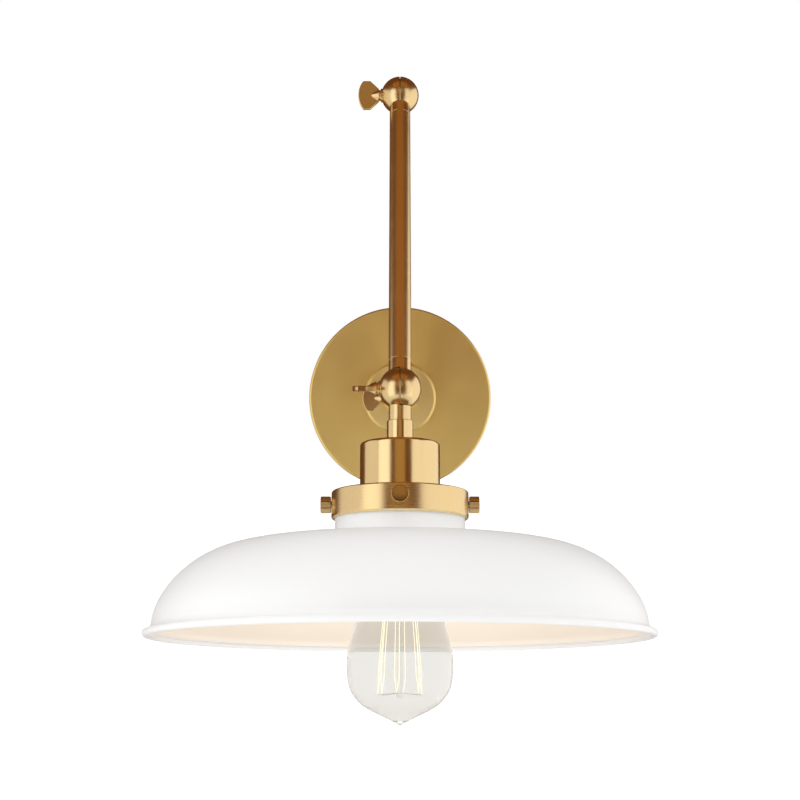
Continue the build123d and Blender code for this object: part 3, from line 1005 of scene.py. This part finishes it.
@dataclass
class Arms:
    """Both arms with their half balls, tubes and thumbscrews."""

    finishes: Finishes
    tube_radius: float = 7.25
    tube_wall: float = 1.2
    shank_length: float = 20.0
    spigot_radius: float = 6.0
    spigot_length: float = 12.0

    def tube(self, name: str, place: Place, finish: bpy.types.Material) -> None:
        """Make an arm tube.

        Args:
            name: the name of the tube and of its node.
            place: the arm's own space.
            finish: its material.
        """
        start, end = self.shank_length, ARM_LENGTH - self.shank_length
        bore = self.tube_radius - self.tube_wall
        outline = [
            Corner(bore, start),
            Corner(self.tube_radius, start, 0.2),
            Corner(self.tube_radius, end, 0.2),
            Corner(bore, end),
        ]
        Piece(name, name, place, finish).put(turned(outline, 96, 3))

    def end(self, name: str, centre: Vector, along: Vector, side: Side) -> None:
        """Make the half ball at one end of an arm.

        Args:
            name: the name of the half ball and of its node.
            centre: the middle of the ball.
            along: the way that its shank points.
            side: the side of the seam that it is on.
        """
        SplitBall().build(
            Piece(name, name, Place(centre, along), self.finishes.ball),
            side,
            self.tube_radius,
            self.shank_length,
            self.spigot_radius,
            self.shank_length + self.spigot_length,
        )

    def build(self) -> None:
        """Make both arms."""
        self.end("rear_arm_lower_knuckle", WALL_BALL, REAR_UP, Side.LEFT)
        self.end("rear_arm_upper_knuckle", ELBOW_BALL, -REAR_UP, Side.LEFT)
        self.end("front_arm_upper_knuckle", ELBOW_BALL, FRONT_DOWN, Side.RIGHT)
        self.end("front_arm_lower_knuckle", SHADE_BALL, -FRONT_DOWN, Side.RIGHT)
        self.tube("rear_arm_tube", ON_REAR_ARM, self.finishes.rear_tube)
        self.tube("front_arm_tube", ON_FRONT_ARM, self.finishes.front_tube)
        screw = Thumbscrew()
        screw.build("wall_thumbscrew", WALL_BALL, True, self.finishes.ball)
        screw.build("elbow_thumbscrew", ELBOW_BALL, True, self.finishes.ball)
        screw.build("shade_thumbscrew", SHADE_BALL, False, self.finishes.ball)


# ---------------------------------------------------------------- on the wall


@dataclass
class WallMount:
    """Round plate, boss, first half ball, strap and fasteners."""

    finishes: Finishes
    sheet: float = 1.2
    plate_edge: float = 1.8
    boss_bevel: float = 1.6
    tail_radius: float = 4.95
    nut_flats: float = 17.0
    strap_sheet: float = 1.6
    strap_width: float = 22.0
    ear_height: float = 13.0
    slot_spacing: float = 83.3
    slot_length: float = 18.0
    slot_radius: float = 2.4

    def plate(self) -> None:
        """Make the drawn plate, open at the back."""
        size = node_size("wall_plate")
        radius, depth = size.x / 2, size.y
        outline = [
            Corner(radius - self.sheet, 0, 0.3),
            Corner(radius, 0, 0.3),
            Corner(radius, depth, self.plate_edge),
            Corner(self.tail_radius, depth, 0.3),
            Corner(self.tail_radius, depth - self.sheet, 0.3),
            Corner(radius - self.sheet, depth - self.sheet, 0.8),
        ]
        piece = Piece("wall_plate", "wall_plate", ON_WALL, self.finishes.plate)
        piece.put(turned(outline, 160, 5))

    def boss(self) -> None:
        """Make the raised disc with its bright bevel."""
        size = node_size("boss_disc")
        back = node_size("wall_plate").y
        radius, front = size.x / 2, back + size.y
        outline = [
            Corner(self.tail_radius, back),
            Corner(radius, back, 0.2),
            Corner(radius, front - self.boss_bevel, 0.35),
            Corner(radius - self.boss_bevel, front, 0.5),
            Corner(self.tail_radius, front),
        ]
        Piece("boss_disc", "boss_disc", ON_WALL, self.finishes.boss).put(turned(outline, 128, 4))

    def joint_half(self) -> None:
        """Make the half ball whose shank and tail go through the boss and the plate."""
        boss_front = node_size("wall_plate").y + node_size("boss_disc").y
        reach = -WALL_BALL.y / MM
        low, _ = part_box("wall_knuckle")
        _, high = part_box("wall_knuckle")
        tail_end = (high[1] - WALL_BALL.y) / MM
        SplitBall().build(
            Piece("wall_knuckle", "wall_knuckle", Place(WALL_BALL, -OUTWARDS), self.finishes.ball),
            Side.RIGHT,
            7.25,
            reach - boss_front,
            self.tail_radius - 0.05,
            tail_end,
        )

    def strap(self) -> None:
        """Make the bent steel strap with its slots and holes."""
        half = node_size("mounting_strap").x / 2
        bent = [
            (-half, 0),
            (half, 0),
            (half, self.ear_height),
            (half - self.strap_sheet, self.ear_height),
            (half - self.strap_sheet, self.strap_sheet),
            (-half + self.strap_sheet, self.strap_sheet),
            (-half + self.strap_sheet, self.ear_height),
            (-half, self.ear_height),
        ]
        shape = prism(bent, -self.strap_width / 2, self.strap_width / 2)
        rounded_edges(shape, 0.35)
        moved(shape, Matrix.Rotation(math.radians(90), 4, "X"))
        holes = [rod(-1, self.strap_sheet + 1, 9.5, 48)]
        holes.append(moved(rod(-1, self.strap_sheet + 1, 2.05), Matrix.Translation((22.0, -6.5, 0))))
        straight = self.slot_length / 2 - self.slot_radius
        for side in (-1, 1):
            ends = arc((straight, 0.0), self.slot_radius, -90, 90, 10)
            ends += arc((-straight, 0.0), self.slot_radius, 90, 270, 10)
            slot = prism([(c.radius, c.height) for c in ends], -1, self.strap_sheet + 1)
            holes.append(moved(slot, Matrix.Translation((side * self.slot_spacing / 2, 0, 0))))
            ear = moved(sideways(rod(half - 5, half + 5, 2.05), side), Matrix.Translation((0, 0, 9)))
            holes.append(ear)
        for hole in holes:
            shape = joined(shape, hole, Joining.CUT)
        Piece("mounting_strap", "mounting_strap", ON_WALL, self.finishes.steel).put(shape)

    def nut(self, name: str, place: Place, start: float, thickness: float) -> None:
        """Make a chamfered hexagon nut.

        Args:
            name: the node that it stands for.
            place: the space that it is made in.
            start: where its first face lies along the axis.
            thickness: its thickness.
        """
        corner_radius = self.nut_flats / math.sqrt(3)
        turns = [math.radians(30 + 60 * index) for index in range(6)]
        hexagon = [(corner_radius * math.cos(t), corner_radius * math.sin(t)) for t in turns]
        shape = prism(hexagon, start, start + thickness)
        flat = self.nut_flats / 2 - 0.3
        chamfer = [
            Corner(0, start),
            Corner(flat, start),
            Corner(corner_radius + 0.3, start + 1.1),
            Corner(corner_radius + 0.3, start + thickness - 1.1),
            Corner(flat, start + thickness),
            Corner(0, start + thickness),
        ]
        shape = joined(shape, turned(chamfer, 48), Joining.KEEP)
        shape = joined(shape, rod(start - 1, start + thickness + 1, self.tail_radius, 40), Joining.CUT)
        Piece(name, name, place, self.finishes.steel).put(shape)

    def fasteners(self) -> None:
        """Make the nut, the earth screw and the two set screws."""
        low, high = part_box("wall_nut")
        start = -high[1] / MM
        self.nut("wall_nut", ON_WALL, start, (high[1] - low[1]) / MM)
        low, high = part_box("ground_screw")
        middle = node_middle("ground_screw") / MM
        head = -low[1] / MM
        outline = [
            Corner(0, 0),
            Corner(2.0, 0, 0.2),
            Corner(2.0, self.strap_sheet),
            Corner(3.9, self.strap_sheet, 0.2),
            Corner(3.9, head, 1.2),
            Corner(0, head),
        ]
        shape = turned(outline, 48)
        slot = prism([(-5, -0.5), (5, -0.5), (5, 0.5), (-5, 0.5)], head - 1.2, head + 1)
        shape = joined(shape, slot, Joining.CUT)
        moved(shape, Matrix.Translation((middle.x, middle.z, 0)))
        Piece("ground_screw", "ground_screw", ON_WALL, self.finishes.green).put(shape)
        reach = node_size("plate_set_screws").x / 2
        screws = bmesh.new()
        for side in (-1, 1):
            body = [Corner(0, 66), Corner(2.0, 66, 0.5), Corner(2.0, reach, 0.2), Corner(0, reach)]
            slot = prism([(-3, -0.4), (3, -0.4), (3, 0.4), (-3, 0.4)], reach - 1, reach + 1)
            one = joined(turned(body, 32), slot, Joining.CUT)
            moved(sideways(one, side), Matrix.Translation((0, 0, 9)))
            mesh = bpy.data.meshes.new("scratch")
            one.to_mesh(mesh)
            screws.from_mesh(mesh)
            bpy.data.meshes.remove(mesh)
        Piece("plate_set_screws", "plate_set_screws", ON_WALL, self.finishes.steel).put(screws)

    def build(self) -> None:
        """Make the pieces on the wall."""
        self.plate()
        self.boss()
        self.joint_half()
        self.strap()
        self.fasteners()


# ---------------------------------------------------------------- shade head


@dataclass
class ShadeHead:
    """Stem, cap, ring, screws, shade and lampholder, along the shade's axis."""

    finishes: Finishes
    stem_radius: float = 7.1
    collar_top: float = 20.7
    collar_radius: float = 8.2
    tail_radius: float = 4.95
    cap_top: float = 35.0
    cap_radius: float = 24.8
    ring_top: float = 65.6
    ring_bottom: float = 82.4
    ring_radius: float = 42.3
    ring_sheet: float = 1.5
    screw_place: float = 73.4
    screw_head: float = 5.25
    screw_length: float = 6.3
    knurls: int = 40
    neck_radius: float = 40.0
    shade_sheet: float = 1.2
    shoulder_slope: float = 5.3
    shoulder_radius: float = 94.5
    neck_bottom: float = 94.1
    dome_radius: float = 64.5
    dome_end: float = 61.4
    wall_radius: float = 39.4
    wall_end: float = 84.7
    flare_radius: float = 5.9
    flare_end: float = 40.0
    bead_radius: float = 2.25

    def turned_piece(
        self, node: str, outline: Sequence[Corner], finish: bpy.types.Material, steps: int = 96
    ) -> bpy.types.Object:
        """Make a turned piece on the shade's axis."""
        return Piece(node, node, ON_HEAD, finish).put(turned(outline, steps, 4))

    def stem(self) -> None:
        """Make the last half ball, the collar and the cap."""
        tail_end = self.cap_top + 7.8
        SplitBall().build(
            Piece("shade_knuckle", "shade_knuckle", ON_HEAD, self.finishes.ball),
            Side.LEFT,
            self.stem_radius,
            self.collar_top,
            self.tail_radius - 0.05,
            tail_end,
        )
        self.turned_piece(
            "stem_collar",
            [
                Corner(self.tail_radius, self.collar_top),
                Corner(self.collar_radius, self.collar_top, 0.5),
                Corner(self.collar_radius, self.cap_top, 0.25),
                Corner(self.tail_radius, self.cap_top),
            ],
            self.finishes.cap,
        )
        inside = self.cap_radius - 1.2
        self.turned_piece(
            "socket_cap",
            [
                Corner(self.tail_radius, self.cap_top),
                Corner(self.cap_radius, self.cap_top, 1.8),
                Corner(self.cap_radius, self.ring_top, 0.2),
                Corner(inside, self.ring_top),
                Corner(inside, self.cap_top + 1.2, 0.8),
                Corner(self.tail_radius, self.cap_top + 1.2),
            ],
            self.finishes.cap,
            128,
        )

    def ring(self) -> None:
        """Make the shade ring with its rolled edges."""
        inside = self.ring_radius - self.ring_sheet
        lip = inside - 0.55
        self.turned_piece(
            "shade_ring",
            [
                Corner(19.7, self.ring_top),
                Corner(self.ring_radius, self.ring_top, 0.9),
                Corner(self.ring_radius, self.ring_bottom, 1.3),
                Corner(lip, self.ring_bottom, 0.5),
                Corner(lip, self.ring_bottom - self.ring_sheet, 0.2),
                Corner(inside, self.ring_bottom - self.ring_sheet),
                Corner(inside, self.ring_top + self.ring_sheet, 0.8),
                Corner(19.7, self.ring_top + self.ring_sheet),
            ],
            self.finishes.ring,
            160,
        )

    def screws(self) -> None:
        """Make the four knurled screws in the ring."""
        screws = bmesh.new()
        head_start = self.ring_radius + 0.35
        for quarter in range(4):
            one = bmesh.new()
            bmesh.ops.create_cone(
                one,
                cap_ends=True,
                segments=2 * self.knurls,
                radius1=self.screw_head,
                radius2=self.screw_head,
                depth=self.screw_length,
                matrix=Matrix.Translation((0, 0, head_start + self.screw_length / 2)),
            )
            rims = [edge for edge in one.edges if abs(edge.verts[0].co.z - edge.verts[1].co.z) < 1e-6]
            bmesh.ops.bevel(
                one, geom=rims, offset=0.6, affect="EDGES", segments=3, profile=0.5, material=-1
            )
            for vert in one.verts:
                step = math.atan2(vert.co.y, vert.co.x) / (math.pi / self.knurls)
                on_side = math.hypot(vert.co.x, vert.co.y) > self.screw_head - 0.05
                if on_side and round(step) % 2:
                    vert.co.x *= 0.955
                    vert.co.y *= 0.955
            shank = rod(self.neck_radius, head_start + 1.0, 2.0)
            one = joined(one, shank, Joining.ADD)
            sideways(one, 1)
            moved(one, Matrix.Rotation(math.radians(90 * quarter), 4, "Z"))
            moved(one, Matrix.Translation((0, 0, self.screw_place)))
            mesh = bpy.data.meshes.new("scratch")
            one.to_mesh(mesh)
            screws.from_mesh(mesh)
            bpy.data.meshes.remove(mesh)
        Piece("ring_screws", "ring_screws", ON_HEAD, self.finishes.screw, 25.0).put(screws)

    def slope_point(self, middle: Sequence[float], radius: float, slope: float) -> tuple[float, float]:
        """Return the point of a round stretch where the outline has this slope."""
        turn = math.radians(slope)
        return (middle[0] + radius * math.sin(turn), middle[1] - radius * math.cos(turn))

    def shade(self) -> None:
        """Make the spun shade, white outside and cream inside."""
        slope = math.tan(math.radians(self.shoulder_slope))
        shoulder = (
            self.shoulder_radius,
            self.neck_bottom + (self.shoulder_radius - self.neck_radius) * slope,
        )
        dome = self.slope_point(shoulder, -self.dome_radius, self.shoulder_slope)
        wall = self.slope_point(dome, self.dome_radius - self.wall_radius, self.dome_end)
        flare = self.slope_point(wall, self.wall_radius + self.flare_radius, self.wall_end)
        sheet, half = self.shade_sheet, self.shade_sheet / 2
        end = self.slope_point(flare, -self.flare_radius - half, self.flare_end)
        lean = math.radians(self.flare_end)
        reach = self.bead_radius / math.sqrt(2)
        bead = (end[0] + reach * math.cos(lean), end[1] + reach * math.sin(lean))
        open_turn = math.degrees(math.asin(half / self.bead_radius))
        back = self.flare_end + 180
        top = self.ring_top + self.ring_sheet
        outer_corner = shoulder[1] - (shoulder[0] - self.neck_radius) * slope
        inner_radius = self.neck_radius - sheet
        inner_start = self.slope_point(dome, self.dome_radius - sheet, self.shoulder_slope)
        inner_corner = inner_start[1] - (inner_start[0] - inner_radius) * slope
        first, second = self.shoulder_slope - 90, self.dome_end - 90
        third, fourth = self.wall_end - 90, self.wall_end + 90
        outline = [Corner(inner_radius, top, 0.3), Corner(self.neck_radius, top, 0.3)]
        outline += [Corner(self.neck_radius, outer_corner, 3.0)]
        outline += arc(dome, self.dome_radius, first, second, 20)
        outline += arc(wall, self.wall_radius, second, third, 10)[1:]
        outline += arc(flare, self.flare_radius, fourth, self.flare_end + 90, 6)[1:]
        outline += arc(bead, self.bead_radius, back + open_turn, back + 360 - open_turn, 22)
        outline += arc(flare, self.flare_radius + sheet, self.flare_end + 90, fourth, 6)
        outline += arc(wall, self.wall_radius - sheet, third, second, 10)[1:]
        outline += arc(dome, self.dome_radius - sheet, second, first, 20)[1:]
        outline += [Corner(inner_radius, inner_corner, 2.6)]
        thing = self.turned_piece("shade", outline, self.finishes.outside, 192)
        thing.data.materials.append(self.finishes.inside)
        axis, origin = SHADE_DOWN, SHADE_BALL
        for face in thing.data.polygons:
            offset = face.center - origin
            radial = offset - axis * offset.dot(axis)
            height = offset.dot(axis) / MM
            faces_in = face.normal.dot(radial) < 0 or face.normal.dot(axis) > 0.35
            if faces_in and height < bead[1] - 1.2 and radial.length / MM < bead[0] - 1.0:
                face.material_index = 1

    def lampholder(self) -> None:
        """Make the black lampholder and its threaded shell."""
        top = self.ring_top + self.ring_sheet
        self.turned_piece(
            "lampholder_body",
            [
                Corner(0, 45.5),
                Corner(19.5, 45.5, 1.5),
                Corner(19.5, top),
                Corner(23.4, top),
                Corner(23.4, 69.6, 0.6),
                Corner(17.6, 69.6, 0.8),
                Corner(17.6, 80.0, 0.2),
                Corner(17.0, 80.6, 0.2),
                Corner(17.0, 82.2, 0.2),
                Corner(17.6, 82.8, 0.2),
                Corner(17.6, 93.5, 0.9),
                Corner(14.1, 93.5, 0.5),
                Corner(14.1, 64.0),
                Corner(0, 64.0),
            ],
            self.finishes.holder,
        )
        self.turned_piece("lampholder_shell", self.threads(14.05, 13.5, 66.0, 90.0), self.finishes.nickel)

    @staticmethod
    def threads(outer: float, inner: float, top: float, bottom: float) -> list[Corner]:
        """Return the outline of a thin sleeve with rolled threads.

        Args:
            outer: the largest radius.
            inner: the smallest radius.
            top: where the sleeve starts.
            bottom: where it ends.

        Returns:
            A closed outline.
        """
        count = 72
        depth = (outer - inner) * 0.45
        sheet = (outer - inner) * 0.5
        outside = []
        for step in range(count + 1):
            height = top + (bottom - top) * step / count
            wave = 0.5 - 0.5 * math.cos(2 * math.pi * 7 * step / count)
            outside.append(Corner(outer - depth * wave, height))
        inside = [Corner(corner.radius - sheet, corner.height) for corner in reversed(outside)]
        return outside + inside

    def build(self) -> None:
        """Make the head's metal pieces and the lampholder."""
        self.stem()
        self.ring()
        self.screws()
        self.shade()
        self.lampholder()
        WallMount(self.finishes).nut("cap_nut", ON_HEAD, self.cap_top + 1.2, 5.0)


@dataclass
class Bulb:
    """Pear-shaped filament bulb with a squirrel-cage filament."""

    finishes: Finishes
    glass_sheet: float = 0.6
    knots: tuple = (
        (12.4, 83.0),
        (12.4, 98.0),
        (18.5, 119.0),
        (27.4, 145.5),
        (31.5, 161.0),
        (32.2, 174.0),
        (30.2, 185.5),
        (24.5, 193.5),
        (18.4, 197.6),
        (11.1, 201.2),
        (5.8, 203.8),
        (1.7, 205.7),
        (1.0, 208.8),
    )
    hairpins: int = 6
    spread: float = 6.0
    turn: float = 8.0
    strand_radius: float = 0.2
    cage_top: tuple[float, float] = (9.0, 127.0)
    cage_bottom: tuple[float, float] = (14.2, 188.0)

    def glass(self) -> None:
        """Make the envelope as a thin closed shell."""
        outside = smooth_outline(self.knots, 12)
        inside = smooth_outline([(r - self.glass_sheet, h) for r, h in self.knots[:-2]], 12)
        last = inside[-1].height + 1.2
        outline = outside + [Corner(0.0, self.knots[-1][1] + 0.2)]
        shell = outline + [Corner(0.0, last)] + list(reversed(inside))
        shape = self.shell(shell)
        Piece("bulb_glass", "bulb_glass", ON_HEAD, self.finishes.glass, 60.0).put(shape)

    @staticmethod
    def shell(outline: Sequence[Corner]) -> bmesh.types.BMesh:
        """Spin a shell whose outline touches the axis in its middle.

        Args:
            outline: the corners, down the outside and up the inside.

        Returns:
            The closed shape.
        """
        shape = bmesh.new()
        points = [shape.verts.new((corner.radius, 0.0, corner.height)) for corner in outline]
        on_axis = [index for index, corner in enumerate(outline) if corner.radius == 0.0]
        for index, (first, second) in enumerate(zip(points, points[1:] + points[:1])):
            if index != on_axis[0]:
                shape.edges.new((first, second))
        bmesh.ops.spin(
            shape,
            geom=shape.verts[:] + shape.edges[:],
            cent=(0, 0, 0),
            axis=(0, 0, 1),
            dvec=(0, 0, 0),
            angle=2 * math.pi,
            steps=96,
            use_merge=True,
            use_duplicate=False,
        )
        bmesh.ops.remove_doubles(shape, verts=shape.verts[:], dist=1e-4)
        bmesh.ops.recalc_face_normals(shape, faces=shape.faces[:])
        return shape

    def base(self) -> None:
        """Make the screw base."""
        threads = ShadeHead.threads(13.1, 12.55, 71.5, 92.6)
        top = [Corner(10.5, 69.6), Corner(12.2, 69.6, 0.5)]
        outline = top + threads[: len(threads) // 2] + threads[len(threads) // 2 :] + [Corner(10.5, 70.2)]
        Piece("bulb_base", "bulb_base", ON_HEAD, self.finishes.nickel).put(turned(outline, 72))

    def mount(self) -> None:
        """Make the glass stem inside the bulb."""
        outline = [
            Corner(0, 84.5),
            Corner(9.0, 84.0, 0.6),
            Corner(5.5, 91.0, 3.0),
            Corner(4.2, 104.0, 2.0),
            Corner(3.4, 117.0, 1.5),
            Corner(1.6, 120.5, 1.0),
            Corner(1.6, 188.2, 0.6),
            Corner(2.3, 189.0, 0.6),
            Corner(1.8, 190.0, 0.5),
            Corner(0, 190.0),
        ]
        Piece("bulb_mount", "bulb_mount", ON_HEAD, self.finishes.mount).put(turned(outline, 48))

    def point(self, turn: float, radius: float, height: float) -> Vector:
        """Return a place inside the bulb from a turn in degrees, a radius and a height."""
        angle = math.radians(turn)
        return Vector((radius * math.cos(angle), radius * math.sin(angle), height))

    def wire_path(self, shape: bmesh.types.BMesh, path: Sequence[Vector], radius: float) -> None:
        """Add a round wire along a path to a shape.

        Args:
            shape: the shape that it joins.
            path: the points of its middle line.
            radius: its radius.
        """
        curve = bpy.data.curves.new("scratch", "CURVE")
        curve.dimensions = "3D"
        curve.bevel_depth = radius
        curve.bevel_resolution = 2
        curve.use_fill_caps = True
        spline = curve.splines.new("POLY")
        spline.points.add(len(path) - 1)
        for point, place in zip(spline.points, path):
            point.co = (*place, 1.0)
        holder = bpy.data.objects.new("scratch", curve)
        mesh = bpy.data.meshes.new_from_object(holder)
        shape.from_mesh(mesh)
        bpy.data.meshes.remove(mesh)
        bpy.data.objects.remove(holder)
        bpy.data.curves.remove(curve)

    def hairpin(self, middle: float, step: float) -> list[Vector]:
        """Return one strand: down, round a hook at the bottom, and up again.

        Args:
            middle: the turn of its hook, in degrees.
            step: the turn between two hooks.

        Returns:
            The points of its middle line.
        """
        half = []
        for part in range(13):
            share = part / 12
            radius = self.cage_top[0] + (self.cage_bottom[0] - self.cage_top[0]) * share
            height = self.cage_top[1] + (self.cage_bottom[1] - self.cage_top[1]) * share
            spread = (step / 2 - self.spread) * (1 - share) ** 10
            spread += self.spread * min(1.0, 6 * (1 - share))
            half.append((spread, radius + 0.4 * math.sin(math.pi * share), height))
        down = [self.point(middle - spread, radius, height) for spread, radius, height in half]
        up = [self.point(middle + spread, radius, height) for spread, radius, height in half[-2::-1]]
        return down + up

    def cage(self) -> None:
        """Make the supports with their hooks, and the strand that runs up and down."""
        supports, filament = bmesh.new(), bmesh.new()
        step = 360 / self.hairpins
        for index in range(self.hairpins):
            middle = (index + 0.5) * step + self.turn
            for turn, (radius, height), hook in (
                (middle, self.cage_bottom, 1.0),
                (middle + step / 2, self.cage_top, -1.0),
            ):
                bends = ((1.2, -0.6), (radius * 0.55, 0.1), (radius - 0.5, 0.6), (radius, 0.1))
                path = [self.point(turn, place, height + rise * hook) for place, rise in bends]
                self.wire_path(supports, path, 0.14)
            self.wire_path(filament, self.hairpin(middle, step), self.strand_radius)
        Piece("bulb_supports", "bulb_supports", ON_HEAD, self.finishes.wire).put(supports)
        Piece("bulb_filament", "bulb_filament", ON_HEAD, self.finishes.filament).put(filament)

    def build(self) -> None:
        """Make the bulb."""
        self.glass()
        self.base()
        self.mount()
        self.cage()


# ---------------------------------------------------------------- kept nodes and studio


def dress_kept_nodes(finishes: Finishes) -> None:
    """Give the CAD nodes that stay their materials.

    Args:
        finishes: the lamp's materials.
    """
    kept = {
        "lock_washer": finishes.steel,
        "wall_joint_washer": finishes.fibre,
        "elbow_joint_washer": finishes.fibre,
        "shade_joint_washer": finishes.fibre,
        "rear_arm_wire": finishes.sleeve,
        "front_arm_wire": finishes.sleeve,
        "lampholder_contact": finishes.spring,
        "bulb_insulator": finishes.insulator,
        "bulb_eyelet": finishes.solder,
    }
    for node, finish in kept.items():
        thing = frame["nodes"][node]
        for slot in thing.material_slots:
            slot.material = finish
        log.info("%s: dressed with %s", node, finish.name)


@dataclass
class Studio:
    """Pale floor, soft boxes, a warm dim room for the metal to reflect, and the camera."""

    floor_drop: float = 1.5
    floor_size: float = 60.0
    camera_distance: float = 1.308
    camera_height: float = -0.00165
    lens: float = 71.4

    def soft_box(
        self,
        name: str,
        turn: float,
        rise: float,
        distance: float,
        size: tuple[float, float],
        power: float,
        colour: Colour = (1.0, 1.0, 1.0),
        glossy: bool = True,
        diffuse: bool = True,
    ) -> None:
        """Place a flat light that faces the lamp.

        Args:
            name: its name.
            turn: degrees round the lamp, 0 in front and 90 on the right.
            rise: degrees above level.
            distance: metres from the lamp.
            size: width and height in metres.
            power: watts.
            colour: its colour.
            glossy: whether reflections show it.
            diffuse: whether it lights matt surfaces.
        """
        light = bpy.data.lights.new(name, "AREA")
        light.shape = "RECTANGLE"
        light.size, light.size_y = size
        light.energy = power
        light.color = colour
        thing = bpy.data.objects.new(name, light)
        angle, lift = math.radians(turn), math.radians(rise)
        way = Vector(
            (math.sin(angle) * math.cos(lift), -math.cos(angle) * math.cos(lift), math.sin(lift))
        )
        middle = Vector((0.0, -0.25, 0.0))
        thing.location = middle + way * distance
        thing.rotation_euler = (-way).to_track_quat("-Z", "Y").to_euler()
        thing.visible_camera = False
        thing.visible_glossy = glossy
        thing.visible_diffuse = diffuse
        thing.visible_transmission = False
        bpy.context.scene.collection.objects.link(thing)

    def floor(self) -> None:
        """Lay the pale floor."""
        mesh = bpy.data.meshes.new("studio_floor")
        shape = bmesh.new()
        bmesh.ops.create_grid(shape, x_segments=2, y_segments=2, size=self.floor_size / 2)
        bmesh.ops.translate(shape, verts=shape.verts[:], vec=(0, 0, -self.floor_drop))
        shape.to_mesh(mesh)
        shape.free()
        recipe = Recipe("pale_floor")
        mesh.materials.append(
            recipe.surface(
                {
                    "Base Color": (0.9, 0.9, 0.9, 1.0),
                    "Roughness": 0.9,
                    "Emission Color": (1.0, 1.0, 1.0, 1.0),
                    "Emission Strength": 1.0,
                }
            )
        )
        thing = bpy.data.objects.new("studio_floor", mesh)
        thing.visible_glossy = False
        thing.visible_diffuse = False
        bpy.context.scene.collection.objects.link(thing)

    def room(self) -> None:
        """Set the world: white to look at, and dim and warm in the metal."""
        world = bpy.data.worlds.new("studio_room")
        bpy.context.scene.world = world
        world.use_nodes = True
        nodes, links = world.node_tree.nodes, world.node_tree.links
        nodes.clear()
        path = nodes.new("ShaderNodeLightPath")
        output = nodes.new("ShaderNodeOutputWorld")
        shown = {}
        for name, colour, strength in (
            ("white", (1.0, 1.0, 1.0, 1.0), 1.0),
            ("fill", (1.0, 1.0, 1.0, 1.0), 0.42),
            ("metal", (0.127, 0.046, 0.013, 1.0), 1.0),
        ):
            shown[name] = nodes.new("ShaderNodeBackground")
            shown[name].inputs["Color"].default_value = colour
            shown[name].inputs["Strength"].default_value = strength
        by_gloss = nodes.new("ShaderNodeMixShader")
        by_sight = nodes.new("ShaderNodeMixShader")
        seen = nodes.new("ShaderNodeMath")
        seen.operation = "MAXIMUM"
        links.new(path.outputs["Is Camera Ray"], seen.inputs[0])
        links.new(path.outputs["Is Transmission Ray"], seen.inputs[1])
        links.new(path.outputs["Is Glossy Ray"], by_gloss.inputs[0])
        links.new(shown["fill"].outputs[0], by_gloss.inputs[1])
        links.new(shown["metal"].outputs[0], by_gloss.inputs[2])
        links.new(seen.outputs[0], by_sight.inputs[0])
        links.new(by_gloss.outputs[0], by_sight.inputs[1])
        links.new(shown["white"].outputs[0], by_sight.inputs[2])
        links.new(by_sight.outputs[0], output.inputs["Surface"])

    def camera(self) -> None:
        """Place the level camera in front of the plate."""
        data = bpy.data.cameras.new("studio_camera")
        data.lens = self.lens
        data.sensor_width = 36.0
        thing = bpy.data.objects.new("studio_camera", data)
        thing.location = (0.0, -self.camera_distance, self.camera_height)
        thing.rotation_euler = (math.radians(90), 0.0, 0.0)
        bpy.context.scene.collection.objects.link(thing)
        bpy.context.scene.camera = thing

    def build(self) -> None:
        """Set up the studio."""
        bpy.context.scene.view_settings.view_transform = "Standard"
        self.floor()
        self.room()
        self.camera()
        self.soft_box("left_near", -46, -6, 1.3, (0.87, 2.4), 7.4)
        self.soft_box("left_far", -92, -10, 1.3, (1.32, 2.2), 6.0)
        self.soft_box("right_near", 49, -4, 1.3, (0.75, 2.4), 4.9)
        self.soft_box("right_far", 103, -8, 1.3, (2.07, 2.3), 13.0)
        amber, ochre = (1.0, 0.42, 0.08), (1.0, 0.68, 0.27)
        self.soft_box("front_card", 0, 26, 3.0, (1.5, 1.5), 2.0, ochre, diffuse=False)
        self.soft_box("ceiling_card", 0, 68, 2.5, (3.4, 1.6), 3.4, amber, diffuse=False)
        self.soft_box("top_fill", 10, 62, 2.2, (2.2, 2.2), 24, glossy=False)
        self.soft_box("front_fill", -70, 14, 2.6, (2.0, 2.0), 7, glossy=False)
        self.soft_box("under_fill", 0, -70, 1.6, (1.6, 1.6), 17.5, glossy=False)


def main() -> None:
    """Build the lamp and the studio."""
    logging.basicConfig(level=logging.INFO, format="%(message)s")
    finishes = Finishes()
    WallMount(finishes).build()
    Arms(finishes).build()
    ShadeHead(finishes).build()
    Bulb(finishes).build()
    dress_kept_nodes(finishes)
    Studio().build()


if __name__ == "__main__":
    main()
